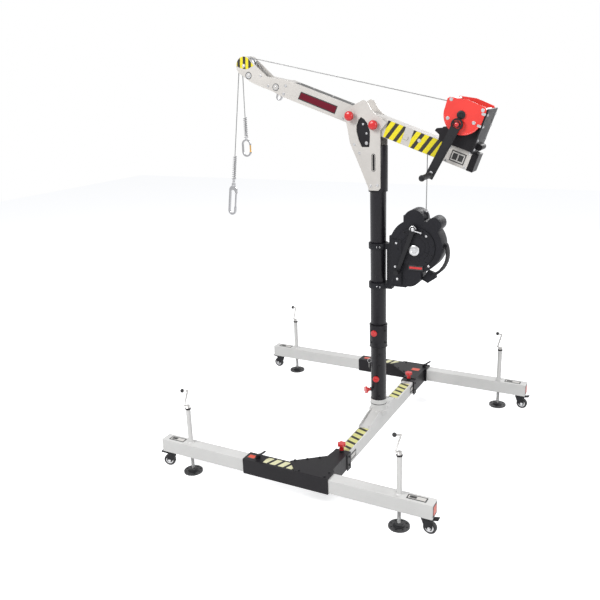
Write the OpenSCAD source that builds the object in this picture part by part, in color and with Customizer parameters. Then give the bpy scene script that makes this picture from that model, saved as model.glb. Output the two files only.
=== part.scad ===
// Portable davit crane: a telescoping four-legged base, a two-piece swivelling mast,
// a luffing boom with a hand winch, and a retrieval block whose line runs through the boom.
// Floor at z = 0, nose of the boom towards -X, +Z up, all sizes in millimetres.

/* [Base] */
// Distance between the centre lines of the front and back legs
leg_spread = 1740; // [1500:20:2000]
// Width of a leg's square tube
leg_w = 80; // [70:1:90]
// Height of a leg's square tube
leg_h = 86; // [76:1:96]
// Wall of the leg and beam tubes
leg_wall = 4; // [3:0.5:6]
// Height of the underside of the legs over the floor
leg_bottom = 119; // [110:1:140]
// Length of one sliding leg
leg_len = 880; // [850:5:960]
// Gap between the inner ends of the front legs, which are pushed right in
front_gap = 30; // [20:5:60]
// How far the front pair of legs is shifted to the left of the mast
front_shift = 225; // [200:5:260]
// Length of the back left leg that is left inside its sleeve when it is drawn right out
leg_overlap = 85; // [75:5:140]
// Reach of the back right leg from the mast
back_right_reach = 800; // [700:5:830]

/* [Sleeves] */
// Length of a sleeve to the left of the mast
sleeve_left = 505; // [480:5:540]
// Length of a sleeve to the right of the mast
sleeve_right = 60; // [56:1:90]
// Wall of the sleeves and their sockets
sleeve_wall = 5; // [4:0.5:8]
// Length of the socket that takes the centre beam
socket_len = 255; // [200:5:320]
// Thickness of the gusset plate on a sleeve
gusset_t = 6; // [4:1:10]

/* [Jacks and castors] */
// Distance of a jack from the outer end of its leg
jack_inset = 200; // [190:5:240]
// Radius of the jack screw
jack_r = 10; // [8:0.5:12]
// Outer radius of the jack tube
jack_tube_r = 15; // [14:0.5:18]
// Height of the jack tube over the leg
jack_tube_h = 240; // [220:5:280]
// Radius of the round foot pad
pad_r = 60; // [55:1:75]
// Thickness of the foot pad
pad_t = 9; // [6:1:14]
// Radius of the circle of pad holes
pad_hole_circle = 46; // [42:1:48]
// Radius of a pad hole
pad_hole_r = 6; // [4:0.5:7]
// Distance of a castor's swivel axis from the end of its leg
castor_inset = 48; // [44:1:60]
// Radius of a castor wheel
wheel_r = 37; // [34:0.5:38]
// Width of a castor wheel
wheel_w = 24; // [20:1:30]
// Free height of a castor wheel over the floor
wheel_lift = 12; // [10:1:14]

/* [Mast] */
// Outer radius of the mast
mast_r = 50; // [46:1:54]
// Wall of the mast tubes
mast_wall = 5; // [4:0.5:7]
// Height of the foot of the mast
mast_foot_z = 262; // [255:1:280]
// Height of the joint between the two mast tubes
mast_joint_z = 700; // [650:10:800]
// Height of the collar over the joint
joint_collar_h = 150; // [120:5:180]
// Height of the top of the mast
mast_top_z = 1975; // [1950:5:1980]
// Height of the boom pivot over the floor
pivot_z = 2100; // [2095:1:2110]
// Thickness of a head plate
head_plate_t = 8; // [6:1:12]
// Length of the flat head sleeve on the mast
head_sleeve_h = 275; // [265:5:320]

/* [Boom] */
// Tilt of the boom, nose up
boom_tilt = 20; // [19.5:0.1:20.5]
// Height of the boom over its axis
boom_up = 55; // [50:1:58]
// Depth of the boom under its axis
boom_down = 50; // [48:1:52]
// Width of the boom
boom_w = 96; // [92:1:98]
// Wall of the boom
boom_wall = 5; // [4:0.5:7]
// Length of the boom behind the pivot, without its cap
boom_rear = 605; // [602:1:620]
// Length of the rear end cap
cap_len = 38; // [30:1:50]
// Distance of the nose sheaves from the pivot
nose_s = 965; // [955:1:975]
// Height of the nose sheaves over the boom axis
nose_h = 41; // [38:1:44]
// Radius of the nose cheeks
nose_r = 58; // [57:0.5:62]
// Radius of the boom pivot pin
pivot_r = 12; // [10:0.5:14]
// Distance of the lock pin from the pivot
lock_s = 158; // [150:1:165]
// Radius of the lock pin
lock_r = 8; // [6:0.5:9]
// Bore radius of the anchor eye
eye_r = 12; // [10:0.5:14]

/* [Winch and ropes] */
// Distance of the drum axis from the pivot
drum_s = 482; // [480:1:484]
// Height of the drum axis over the boom axis
drum_h = 231; // [229:1:233]
// Radius of the drum core
drum_r = 38; // [36:0.5:38.5]
// Half width between the drum flanges
drum_half = 46; // [45:0.5:60]
// Radius of the drum flanges
flange_r = 68; // [60:1:75]
// Half distance between the inner faces of the side plates
winch_half = 98; // [95:1:105]
// Thickness of the winch side plates
winch_t = 5; // [4:0.5:7]
// Diameter of the ropes
rope_d = 6; // [5:0.5:6]
// Length of the winch crank
crank_len = 318; // [250:2:340]
// Length of the crank grip
grip_len = 140; // [110:5:160]
// Number of rope loops in the outer layer on the drum
drum_loops = 12; // [6:1:12]
// Number of curls in a bumper spring
spring_curls = 11; // [6:1:12]

/* [Retrieval block] */
// Thickness of the retrieval block's housing
block_t = 110; // [90:2:120]
// Radius of the block's main housing
block_r = 165; // [150:1:168]
// Length of the block's folding crank
block_crank_len = 288; // [240:2:290]

/* [Hidden] */
$fn = 64;
slide_gap = 0.5;
seat_gap = 0.3;
run_gap = 0.06;
over = 1;

// Reach of the other legs from the mast
front_left_reach = leg_len + front_gap / 2 + front_shift;
front_right_reach = leg_len + front_gap / 2 - front_shift;
back_left_reach = sleeve_left + leg_len - leg_overlap;

// The mast stands off the middle, so that the base is centred on x = 0
mast_x = (back_left_reach - back_right_reach) / 2;
leg_y = leg_spread / 2;
leg_top = leg_bottom + leg_h;
leg_mid_z = leg_bottom + leg_h / 2;

sleeve_in_w = leg_w + 2 * slide_gap;
sleeve_in_h = leg_h + 2 * slide_gap;
sleeve_w = sleeve_in_w + 2 * sleeve_wall;
sleeve_h = sleeve_in_h + 2 * sleeve_wall;
sleeve_top = leg_mid_z + sleeve_h / 2;
sleeve_len = sleeve_left + sleeve_right;
// Inner end of a socket, measured from the leg's centre line towards the mast
socket_end = sleeve_w / 2 + socket_len;
beam_half = leg_y - sleeve_w / 2 - 9;
plunger_r = 8;
plunger_v = socket_end - 24;
plunger_boss_h = 14;
latch_x_front = -423;
latch_x_back = 26;
latch_pin_r = 4;
latch_ear_t = 6;
latch_w = 20;
latch_z = 16;

jack_top = leg_top + jack_tube_h;
jack_screw_top = jack_top - 72;
jack_stem_h = 12;
pad_hub_h = 18;
pad_holes = 8;
castor_plate_t = 4;
castor_stem_r = 6;
castor_axle_r = 5;
castor_trail = 24;
wheel_z = wheel_r + wheel_lift;
bearing_h = 10;
fork_t = 4;
fork_gap = 1;
fork_half = wheel_w / 2 + fork_gap;

spigot_r = mast_r - mast_wall - run_gap;
spigot_h = 150;
collar_r = mast_r + 8;
mast_plunger_z = 388;
mast_plunger_turn = 225;
mast_plunger_r = 7;
sleeve_flat = mast_r + 4;
head_r = mast_r + 9;
head_out = sleeve_flat + head_plate_t;
knob_r = 26;
knob_t = 20;
lock_travel = 16;
lock_step = 12;

boom_half = boom_w / 2;
cheek_t = 8;
boss_r = 34;
box_front_s = -640;
throat_s = -727;
throat_down = 41;
sheave_y = 18;
sheave_w = 22;
sheave_pitch_r = 54;
sheave_axle_r = 10;
sheave_rim_r = 56;
rope_r = rope_d / 2;
groove_clear = 1;
rear_pulley_s = 289;
rear_pulley_h = 8;
rear_pulley_pitch_r = 30;
rear_pulley_rim_r = 33.5;
rear_axle_r = 8;
guide_s = 705;
guide_h = -10;
guide_r = 14;
eye_s = 688;
eye_drop = 24;
eye_t = 12;

frame_s = 606;
frame_t = 8;
plate_r = 112;
crank_drop = 53;
crank_y = winch_half + winch_t + 14;
crank_t = 8;
crank_turn = 8;
crank_ring_r = 34;
crank_shaft_r = 11;
drum_shaft_r = 10;
gear_t = 12;
pinion_r = 15;
gear_r = crank_drop - pinion_r - 1;
wind_clear = 0.5;
wind_r = drum_r + rope_r + wind_clear;
wind_pitch = rope_d + 0.8;
wind_width = wind_pitch * drum_loops;

spring_r = 11;
spring_wire_r = 2.4;
spring_pitch = 13;

block_x = 262;
block_z = 1385;
block_left = 94;
block_hub_x = 254;
block_hub_z = 1492;
block_crank_r = 9;
clamp_top_z = 1362;
clamp_low_z = 1108;
clamp_h = 36;
clamp_t = 11;

// Rope routes, in round numbers in the frame of the whole crane
winch_line_route = [
    [801, -18, 2107], [814, -18, 2115], [824, -18, 2127], [830, -18, 2141], [831, -18, 2157],
    [827, -18, 2171], [819, -18, 2185], [807, -18, 2194], [793, -18, 2200],
    [-631, -18, 2521], [-639, -18, 2522], [-648, -18, 2522], [-656, -18, 2521], [-664, -18, 2518],
    [-672, -18, 2514], [-678, -18, 2509], [-684, -18, 2503], [-689, -18, 2496], [-693, -18, 2489],
    [-695, -18, 2485], [-696, -18, 2477]
];
winch_fall_route = [[-696, -18, 2476.5], [-790, -18, 1751]];
life_line_route = [
    [554, 18, 1998], [554, 18, 2009], [552, 18, 2020], [546, 18, 2030], [536, 18, 2036], [532, 18, 2038],
    [-422, 18, 2314], [-430, 18, 2319], [-603, 18, 2506], [-611, 18, 2512], [-619, 18, 2517],
    [-628, 18, 2521], [-637, 18, 2522], [-646, 18, 2522], [-655, 18, 2521], [-664, 18, 2518],
    [-672, 18, 2514], [-680, 18, 2508], [-686, 18, 2501], [-691, 18, 2493], [-694, 18, 2485],
    [-696, 18, 2477], [-697, 18, 2470]
];
life_fall_route = [[-697, 18, 2469.5], [-697, 18, 2023]];
life_lower_route = [[552, 18, 1592], [552, 18, 1604], [554, 18, 1986], [554, 18, 1997.5]];
fall_lean = atan2(winch_fall_route[0][0] - winch_fall_route[1][0], winch_fall_route[0][2] - winch_fall_route[1][2]);

hook_w = 29;
hook_len = 251;
hook_hinge_z = -100;
hook_tip_z = -192;
hook_gate_half = 4;
gate_pin_r = 3;
carabiner_w = 34;
carabiner_len = 130;
carabiner_hinge_z = -96;
carabiner_tip_z = -54;
carabiner_gate_half = 3;

// How far each jack crank and each castor is turned at rest
crank_turn_fl = 200;
crank_turn_fr = 20;
crank_turn_bl = 160;
crank_turn_br = 340;
fork_turn_fl = 20;
fork_turn_fr = 0;
fork_turn_bl = 0;
fork_turn_br = 0;

// Places a child that is drawn with the mast's axis at x = 0
module at_mast() {
    translate([mast_x, 0, 0]) children();
}

// Places a child that is drawn along the boom: x to the rear, z up from the boom's axis
module at_boom() {
    translate([mast_x, 0, pivot_z]) rotate([0, boom_tilt, 0]) children();
}

// Places a child that is drawn from a leg's outer end: x inwards, y across
module at_leg(side, reach, row) {
    translate([mast_x + side * reach, row * leg_y, 0]) rotate([0, 0, side > 0 ? 180 : 0]) children();
}

// Places a child that is drawn from a row's centre line: y towards the mast
module at_row(row) {
    translate([mast_x, row * leg_y, 0]) {
        if (row > 0) mirror([0, 1, 0]) children();
        else children();
    }
}

// Gives an outline in the x-z plane its thickness from y0 to y1
module slab(y0, y1) {
    translate([0, y1, 0]) rotate([90, 0, 0]) linear_extrude(y1 - y0) children();
}

// Round bar along y from y0 to y1
module bar(r, y0, y1) {
    translate([0, y1, 0]) rotate([90, 0, 0]) cylinder(r = r, h = y1 - y0);
}

// Knob head with six lobes
module lobed_knob(r, t) {
    lobe_r = r * 0.32;
    linear_extrude(t) {
        circle(r - lobe_r * 0.6);
        for (a = [0:60:300]) rotate(a) translate([r - lobe_r, 0]) circle(lobe_r);
    }
}

// Sweeps a round tube along points; each ref is square to the path there
function unit(v) = v / norm(v);
function path_dir(p, i) = unit(p[min(i + 1, len(p) - 1)] - p[max(i - 1, 0)]);
function ring_point(p, ref, r, dir, a) =
    let (u = unit(ref - (ref * dir) * dir), v = cross(dir, u))
    p + r * (cos(a) * u + sin(a) * v);

module tube(path, refs, r, sides) {
    n = len(path);
    rings = [
        for (i = [0:n - 1]) let (dir = path_dir(path, i))
            for (j = [0:sides - 1]) ring_point(path[i], refs[i], r, dir, 360 * j / sides)
    ];
    walls = [
        for (i = [0:n - 2]) for (j = [0:sides - 1])
            let (a = i * sides + j, d = i * sides + (j + 1) % sides)
            each [[a, a + sides, d + sides], [a, d + sides, d]]
    ];
    last = (n - 1) * sides;
    ends = [for (j = [1:sides - 2]) each [[0, j, j + 1], [last, last + j + 1, last + j]]];
    polyhedron(points = rings, faces = concat(walls, ends));
}

// Plain rope along a route that stays in one upright plane
module rope(route, r, sides = 8) {
    tube(route, [for (p = route) [0, 1, 0]], r, sides);
}

// Least gap between the turns of a wound tube, with neighbours along it left out
function least_gap(p, r, skip) =
    min([for (i = [0:len(p) - 1 - skip]) for (j = [i + skip:len(p) - 1]) norm(p[i] - p[j])]) - 2 * r;

// Square tube of the legs, open at its inner end
module leg(side, reach, row) {
    color("gainsboro") at_leg(side, reach, row) difference() {
        union() {
            difference() {
                translate([0, -leg_w / 2, leg_bottom]) cube([leg_len, leg_w, leg_h]);
                translate([leg_wall, leg_wall - leg_w / 2, leg_bottom + leg_wall])
                    cube([leg_len, leg_w - 2 * leg_wall, leg_h - 2 * leg_wall]);
            }
            translate([jack_inset, 0, leg_bottom]) cylinder(r = jack_tube_r, h = leg_h + jack_tube_h);
            translate([castor_inset, 0, leg_bottom - castor_plate_t])
                linear_extrude(castor_plate_t) square([64, 60], center = true);
        }
        translate([jack_inset, 0, leg_bottom - over])
            cylinder(r = jack_r + run_gap, h = leg_h + jack_tube_h + 2 * over);
        translate([castor_inset, 0, leg_bottom - castor_plate_t - over])
            cylinder(r = castor_stem_r + run_gap, h = castor_plate_t + leg_wall + 2 * over);
    }
}

// Screw of a jack with its round foot pad
module jack_foot(side, reach, row) {
    color("dimgray") at_leg(side, reach, row) translate([jack_inset, 0, 0]) difference() {
        union() {
            cylinder(r = pad_r, h = pad_t);
            translate([0, 0, pad_t - over]) cylinder(r1 = 24, r2 = 18, h = pad_hub_h + over);
            cylinder(r = jack_r, h = jack_screw_top);
        }
        for (a = [0:360 / pad_holes:359]) rotate(a) translate([pad_hole_circle, 0, -over])
            cylinder(r = pad_hole_r, h = pad_t + 2 * over);
    }
}

// Folding crank on top of a jack tube
module jack_crank(side, reach, row, turn) {
    arm_lean = 16;
    arm_len = 112;
    hub_t = 16;
    color("lightgray") at_leg(side, reach, row) translate([jack_inset, 0, jack_top + seat_gap]) {
        translate([0, 0, -jack_stem_h - seat_gap]) cylinder(r = jack_r - 2, h = jack_stem_h + seat_gap);
        cylinder(r = jack_tube_r - 1, h = hub_t);
        rotate([0, 0, turn]) {
            translate([-7, -5, hub_t - 6]) cube([34, 10, 6]);
            translate([22, 0, hub_t - 4]) rotate([0, -arm_lean, 0]) cylinder(r = 5, h = arm_len);
            translate([22 - arm_len * sin(arm_lean), 0, hub_t - 10 + arm_len * cos(arm_lean)]) {
                rotate([0, 90, 0]) cylinder(r = 5, h = 34);
                translate([36, 0, 0]) sphere(r = 12);
            }
        }
    }
}

// Swivelling fork of a castor, with its brake pedal
module castor_fork(side, reach, row, turn) {
    fork_top = leg_bottom - castor_plate_t - seat_gap - bearing_h;
    color("dimgray") at_leg(side, reach, row) translate([castor_inset, 0, 0]) {
        translate([0, 0, fork_top - over])
            cylinder(r = castor_stem_r, h = bearing_h + castor_plate_t + seat_gap + over);
        translate([0, 0, fork_top]) cylinder(r = 24, h = bearing_h);
        rotate([0, 0, turn]) {
            translate([-30, -fork_half - fork_t, fork_top - 6]) cube([54, 2 * (fork_half + fork_t), 6]);
            for (s = [-1, 1]) translate([0, s * (fork_half + fork_t / 2), 0]) slab(-fork_t / 2, fork_t / 2)
                polygon([[-30, fork_top], [24, fork_top], [8, wheel_z + 12],
                    [12 - castor_trail, wheel_z - 12], [-12 - castor_trail, wheel_z - 12],
                    [-18 - castor_trail, wheel_z + 8]]);
            translate([-castor_trail, 0, wheel_z]) bar(castor_axle_r, -fork_half - fork_t - 3, fork_half + fork_t + 3);
            translate([-30, 0, fork_top - 4]) rotate([0, 14, 0]) translate([-44, -18, -2]) cube([48, 36, 4]);
        }
    }
}

// Wheel of a castor with its hub
module castor_wheel(side, reach, row, turn) {
    chamfer = 3;
    half = wheel_w / 2;
    color("black") at_leg(side, reach, row) translate([castor_inset, 0, 0]) rotate([0, 0, turn])
        translate([-castor_trail, 0, wheel_z]) rotate([90, 0, 0]) rotate_extrude()
            polygon([
                [castor_axle_r + run_gap, -half], [wheel_r - 12, -half], [wheel_r - 12, 2 - half],
                [wheel_r - 10, -half], [wheel_r - chamfer, -half], [wheel_r, chamfer - half],
                [wheel_r, half - chamfer], [wheel_r - chamfer, half], [wheel_r - 10, half],
                [wheel_r - 12, half - 2], [wheel_r - 12, half], [castor_axle_r + run_gap, half]
            ]);
}

// Cross tube that carries the mast and joins the two sleeves
module centre_beam() {
    color("whitesmoke") at_mast() difference() {
        translate([-leg_w / 2, -beam_half, leg_bottom]) cube([leg_w, 2 * beam_half, leg_h]);
        translate([leg_wall - leg_w / 2, -beam_half - over, leg_bottom + leg_wall])
            cube([leg_w - 2 * leg_wall, 2 * (beam_half + over), leg_h - 2 * leg_wall]);
        for (row = [-1, 1]) translate([0, row * (leg_y - plunger_v), leg_top - leg_wall - over])
            cylinder(r = plunger_r + run_gap, h = leg_wall + 2 * over);
    }
}

// Welded foot of the mast: sloped housing, collar and bearing spigot
module mast_socket() {
    base_t = 8;
    half_w = leg_w / 2;
    slope_out = 250;
    slope_in = 66;
    color("whitesmoke") at_mast() difference() {
        union() {
            translate([-half_w, -slope_out, leg_top]) cube([leg_w, 2 * slope_out, base_t]);
            for (side = [0, 180]) rotate([0, 0, side]) {
                rotate([90, 0, 90]) translate([0, 0, -half_w + 8]) linear_extrude(leg_w - 16)
                    polygon([[0, leg_top + 1], [slope_out - 20, leg_top + 1], [slope_in, leg_top + 38], [0, leg_top + 38]]);
                for (x = [-half_w, half_w - 6]) rotate([90, 0, 90]) translate([0, 0, x]) linear_extrude(6)
                    polygon([[0, leg_top + 1], [slope_out, leg_top + 1], [slope_out, leg_top + 12],
                        [slope_in + 40, leg_top + 44], [0, leg_top + 44]]);
            }
            translate([0, 0, leg_top + base_t]) cylinder(r = mast_r + 14, h = 30);
            translate([0, 0, leg_top]) cylinder(r = mast_r + 5, h = mast_foot_z - leg_top);
            cylinder_to(spigot_r, mast_foot_z - over, mast_foot_z + spigot_h);
        }
        for (a = [45:90:315]) rotate([0, 0, a]) translate([spigot_r - 14, 0, mast_plunger_z])
            rotate([0, 90, 0]) cylinder(r = mast_plunger_r + 0.5, h = 20);
    }
}

// Upright round bar between two heights
module cylinder_to(r, z0, z1) {
    translate([0, 0, z0]) cylinder(r = r, h = z1 - z0);
}

// Black sleeve for two legs, with the socket for the centre beam
module sleeve(row, latch_x) {
    ear_h = latch_z + 8;
    color("dimgray") at_row(row) difference() {
        union() {
            translate([-sleeve_left, -sleeve_w / 2, leg_mid_z - sleeve_h / 2]) cube([sleeve_len, sleeve_w, sleeve_h]);
            translate([-sleeve_w / 2, 0, leg_mid_z - sleeve_h / 2]) cube([sleeve_w, socket_end, sleeve_h]);
            translate([0, 0, sleeve_top]) linear_extrude(gusset_t)
                polygon([
                    [-150, -sleeve_w / 2], [sleeve_right, -sleeve_w / 2], [sleeve_right, sleeve_w / 2],
                    [sleeve_w / 2, sleeve_w / 2 + 14], [sleeve_w / 2, socket_end - 46],
                    [-sleeve_w / 2, socket_end - 46], [-sleeve_w / 2 - 8, socket_end - 110], [-230, sleeve_w / 2]
                ]);
            for (x = [-sleeve_w / 2 - 5, sleeve_w / 2]) translate([x, socket_end - 52, leg_mid_z - sleeve_h / 2 - 10])
                cube([5, 52, sleeve_h + 10]);
            translate([0, plunger_v, sleeve_top - over]) cylinder(r = plunger_r + 7, h = plunger_boss_h + over);
            for (s = [-1, 1]) translate([latch_x, s * (latch_w / 2 + seat_gap + latch_ear_t / 2), sleeve_top])
                slab(-latch_ear_t / 2, latch_ear_t / 2) {
                    translate([0, latch_z]) circle(8);
                    translate([-8, -over]) square([16, latch_z + over]);
                }
        }
        translate([-sleeve_left - over, -sleeve_in_w / 2, leg_bottom - slide_gap])
            cube([sleeve_len + 2 * over, sleeve_in_w, sleeve_in_h]);
        translate([-sleeve_in_w / 2, sleeve_w / 2, leg_bottom - slide_gap])
            cube([sleeve_in_w, socket_len + over, sleeve_in_h]);
        translate([0, plunger_v, leg_top]) cylinder(r = plunger_r + run_gap, h = sleeve_wall + plunger_boss_h + 10);
        translate([latch_x, 0, sleeve_top + latch_z]) bar(latch_pin_r + run_gap, -ear_h, ear_h);
    }
}

// Red pull plunger that pins the centre beam in its socket
module beam_plunger(row) {
    seat_z = sleeve_top + plunger_boss_h + seat_gap;
    color("red") at_row(row) translate([0, plunger_v, 0]) {
        cylinder_to(plunger_r, leg_top - leg_wall - 4, seat_z + over);
        cylinder_to(plunger_r + 6, seat_z, seat_z + 30);
        translate([0, 0, seat_z + 29]) lobed_knob(knob_r, 16);
    }
}

// Cam lever that clamps a leg in its sleeve
module leg_latch(row, latch_x) {
    arm = 62;
    color("dimgray") at_row(row) translate([latch_x, 0, sleeve_top + latch_z]) {
        bar(latch_pin_r, -latch_w / 2 - latch_ear_t - 3, latch_w / 2 + latch_ear_t + 3);
        slab(-latch_w / 2, latch_w / 2) {
            circle(9);
            rotate(38) translate([0, -5]) square([arm, 10]);
        }
    }
}

// Lower mast tube with the joint collar and the swivel plunger's boss
module lower_mast() {
    joint_low = mast_joint_z - 10;
    color("dimgray") at_mast() difference() {
        union() {
            cylinder_to(mast_r, mast_foot_z + seat_gap, mast_joint_z);
            cylinder_to(collar_r, joint_low, joint_low + joint_collar_h);
            translate([0, 0, mast_plunger_z]) rotate([0, 90, mast_plunger_turn]) cylinder(r = 13, h = mast_r + 10);
        }
        cylinder_to(mast_r - mast_wall, mast_foot_z - over, mast_joint_z + over);
        cylinder_to(mast_r + seat_gap, mast_joint_z, joint_low + joint_collar_h + over);
        translate([0, 0, mast_plunger_z]) rotate([0, 90, mast_plunger_turn])
            cylinder(r = mast_plunger_r + run_gap, h = mast_r + 20);
    }
}

// Upper mast tube with the flat-sided head sleeve and a closed top
module upper_mast() {
    color("dimgray") at_mast() difference() {
        union() {
            cylinder_to(mast_r, mast_joint_z, mast_top_z);
            intersection() {
                cylinder_to(head_r, mast_top_z - head_sleeve_h, mast_top_z);
                translate([-head_r, -sleeve_flat, mast_top_z - head_sleeve_h])
                    cube([2 * head_r, 2 * sleeve_flat, head_sleeve_h]);
            }
        }
        cylinder_to(mast_r - mast_wall, mast_joint_z - over, mast_top_z - 8);
    }
}

// Red plunger that locks the swivel, shown pulled back
module mast_plunger() {
    boss_end = mast_r + 10;
    pull = 9;
    color("red") at_mast() translate([0, 0, mast_plunger_z]) rotate([0, 90, mast_plunger_turn]) {
        cylinder_to(mast_plunger_r, mast_r - mast_wall + 0.5, boss_end + pull + 1);
        cylinder_to(mast_plunger_r + 5, boss_end + pull, boss_end + pull + 14);
        translate([0, 0, boss_end + pull + 13]) lobed_knob(knob_r - 2, 14);
    }
}

// Outline of a head plate with its window and slot
module head_outline() {
    difference() {
        polygon([
            [-34, 1712], [24, 1712], [38, 1726], [38, 2066], [80, 2112], [50, 2134], [10, 2158], [-14, 2182],
            [-30, 2206], [-46, 2233], [-70, 2243], [-116, 2222], [-174, 2192], [-190, 2150], [-176, 2096],
            [-158, 1994], [-118, 1907], [-78, 1816]
        ]);
        polygon([
            [-81, 1970], [-32, 1970], [-28, 2000], [-26, 2060], [-44, 2110], [-62, 2132], [-84, 2146],
            [-100, 2130], [-114, 2096], [-114, 2060], [-100, 2010]
        ]);
        translate([-5, 1838]) circle(7);
        translate([-5, 1920]) circle(7);
        translate([-12, 1838]) square([14, 82]);
    }
}

// Bores of the pivot pin and the lock pin through both head plates
module head_bores(y0, y1) {
    at_boom() bar(pivot_r + run_gap, y0, y1);
    at_boom() translate([-lock_s, 0, 0]) bar(lock_r + run_gap, y0, y1);
}

module head_plate_near() {
    color("gainsboro") difference() {
        union() {
            at_mast() slab(-head_out, -sleeve_flat) head_outline();
            for (p = [[-96, 1935], [-128, 1985]]) at_mast() translate([p[0], 0, p[1]])
                bar(9, -sleeve_flat - over, sleeve_flat);
        }
        head_bores(-head_out - over, -sleeve_flat + over);
    }
}

module head_plate_far() {
    color("gainsboro") difference() {
        at_mast() slab(sleeve_flat, head_out) head_outline();
        head_bores(sleeve_flat - over, head_out + over);
    }
}

// Pivot pin of the boom, with a red knob and a nut
module boom_pivot_pin() {
    color("red") at_boom() {
        bar(pivot_r, -head_out - 6, head_out + 2);
        bar(pivot_r + 6, head_out + seat_gap, head_out + 12);
        bar(pivot_r + 5, -head_out - 8, -head_out - seat_gap);
        translate([0, -head_out - 7, 0]) rotate([90, 0, 0]) lobed_knob(knob_r, knob_t);
    }
}

// Lock pin of the boom, shown pulled back out of the boom
module boom_lock_pin() {
    color("red") at_boom() translate([-lock_s, 0, 0]) {
        bar(lock_r, -head_out - lock_travel - 4, -boom_half - 5);
        translate([0, -head_out - lock_travel - 3, 0]) rotate([90, 0, 0]) lobed_knob(knob_r, knob_t);
    }
}

// Side outline of the drop-nosed front of the boom
module nose_outline() {
    polygon([
        [-600, boom_up], [-788, 31], [2 - nose_s + 32, nose_h + 47], [-nose_s, nose_h],
        [-nose_s - 4, nose_h - nose_r], [-886, -38], [-822, -42], [throat_s, -throat_down],
        [box_front_s, -boom_down], [-600, -boom_down]
    ]);
    translate([-nose_s, nose_h]) circle(nose_r);
}

// Box boom with its nose cheeks, axles and pivot bosses
module boom_beam() {
    inner_up = boom_up - boom_wall;
    inner_down = boom_down - boom_wall;
    color("gainsboro") at_boom() difference() {
        union() {
            difference() {
                slab(-boom_half, boom_half) translate([box_front_s, -boom_down])
                    square([boom_rear - box_front_s, boom_up + boom_down]);
                slab(boom_wall - boom_half, boom_half - boom_wall) translate([box_front_s - over, -inner_down])
                    square([boom_rear - box_front_s + 2 * over, inner_up + inner_down]);
            }
            for (s = [-1, 1]) translate([0, s * (boom_half - cheek_t / 2), 0])
                slab(-cheek_t / 2, cheek_t / 2) nose_outline();
            slab(cheek_t / 2 - boom_half, boom_half - cheek_t / 2) polygon([
                [-620, boom_up], [-766, 33], [-766, 28], [-620, boom_up - 5]
            ]);
            slab(cheek_t / 2 - boom_half, boom_half - cheek_t / 2) polygon([
                [-620, -boom_down], [box_front_s, -boom_down], [throat_s, -throat_down], [-822, -42],
                [-886, -38], [-886, boom_wall - 38], [-822, boom_wall - 42], [throat_s, boom_wall - throat_down],
                [box_front_s, boom_wall - boom_down], [-620, boom_wall - boom_down]
            ]);
            difference() {
                bar(boss_r, seat_gap - sleeve_flat, sleeve_flat - seat_gap);
                bar(boss_r + over, boom_wall - boom_half, boom_half - boom_wall);
            }
            translate([-nose_s, 0, nose_h]) bar(sheave_axle_r, -boom_half - 6, boom_half + 6);
            translate([-guide_s, 0, guide_h]) bar(guide_r, -boom_half - 3, boom_half + 3);
            translate([50 - nose_s, 0, nose_h - 46]) bar(8, -boom_half - 5, boom_half + 5);
            translate([rear_pulley_s, 0, rear_pulley_h]) bar(rear_axle_r, -boom_half - 3, boom_half + 3);
        }
        bar(pivot_r + run_gap, -sleeve_flat, sleeve_flat);
        for (a = [-lock_step, 0, lock_step]) rotate([0, a, 0]) translate([-lock_s, 0, 0])
            bar(lock_r + 0.4, -boom_half - over, -boom_half + boom_wall + over);
        slab(sheave_y - 8, sheave_y + 8) translate([306, -boom_down - over]) square([70, boom_wall + 2 * over]);
    }
}

// Ribbed cap on the rear end of the boom
module boom_end_cap() {
    ribs = 5;
    rib_step = cap_len / ribs;
    color("dimgray") at_boom() {
        slab(-boom_half, boom_half) translate([boom_rear, -boom_down]) square([cap_len, boom_up + boom_down]);
        for (i = [0:ribs - 1]) slab(-boom_half - 2, boom_half + 2)
            translate([boom_rear + rib_step * i + 2, -boom_down - 2]) square([rib_step - 4, boom_up + boom_down + 2]);
    }
}

// Grooved rope wheel, lying flat before it is placed
module grooved_wheel(rim_r, pitch_r, bore_r, w) {
    half = w / 2;
    groove_half = rope_r + 0.6;
    groove_r = pitch_r - rope_r - groove_clear;
    rotate([90, 0, 0]) rotate_extrude() polygon([
        [bore_r, -half], [bore_r + 8, -half], [bore_r + 10, 4 - half], [groove_r - 8, 4 - half],
        [groove_r - 6, 2 - half], [rim_r, 2 - half], [rim_r, -groove_half], [groove_r, -groove_half],
        [groove_r, groove_half], [rim_r, groove_half], [rim_r, half - 2], [groove_r - 6, half - 2],
        [groove_r - 8, half - 4], [bore_r + 10, half - 4], [bore_r + 8, half], [bore_r, half]
    ]);
}

module winch_sheave() {
    color("silver") at_boom() translate([-nose_s, -sheave_y, nose_h])
        grooved_wheel(sheave_rim_r, sheave_pitch_r, sheave_axle_r + run_gap, sheave_w);
}

module life_sheave() {
    color("silver") at_boom() translate([-nose_s, sheave_y, nose_h])
        grooved_wheel(sheave_rim_r, sheave_pitch_r, sheave_axle_r + run_gap, sheave_w);
}

module rear_pulley() {
    color("silver") at_boom() translate([rear_pulley_s, sheave_y, rear_pulley_h]) rotate([90, 0, 0])
        rotate_extrude() polygon([
            [rear_axle_r + run_gap, -sheave_w / 2], [rear_pulley_rim_r, -sheave_w / 2],
            [rear_pulley_rim_r, -rope_r - 0.6], [rear_pulley_pitch_r - rope_r - groove_clear, -rope_r - 0.6],
            [rear_pulley_pitch_r - rope_r - groove_clear, rope_r + 0.6], [rear_pulley_rim_r, rope_r + 0.6],
            [rear_pulley_rim_r, sheave_w / 2], [rear_axle_r + run_gap, sheave_w / 2]
        ]);
}

// Height of the sloped underside between the box and the nose
function under_h(s) = -boom_down + (boom_down - throat_down) * (box_front_s - s) / (box_front_s - throat_s);

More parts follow.
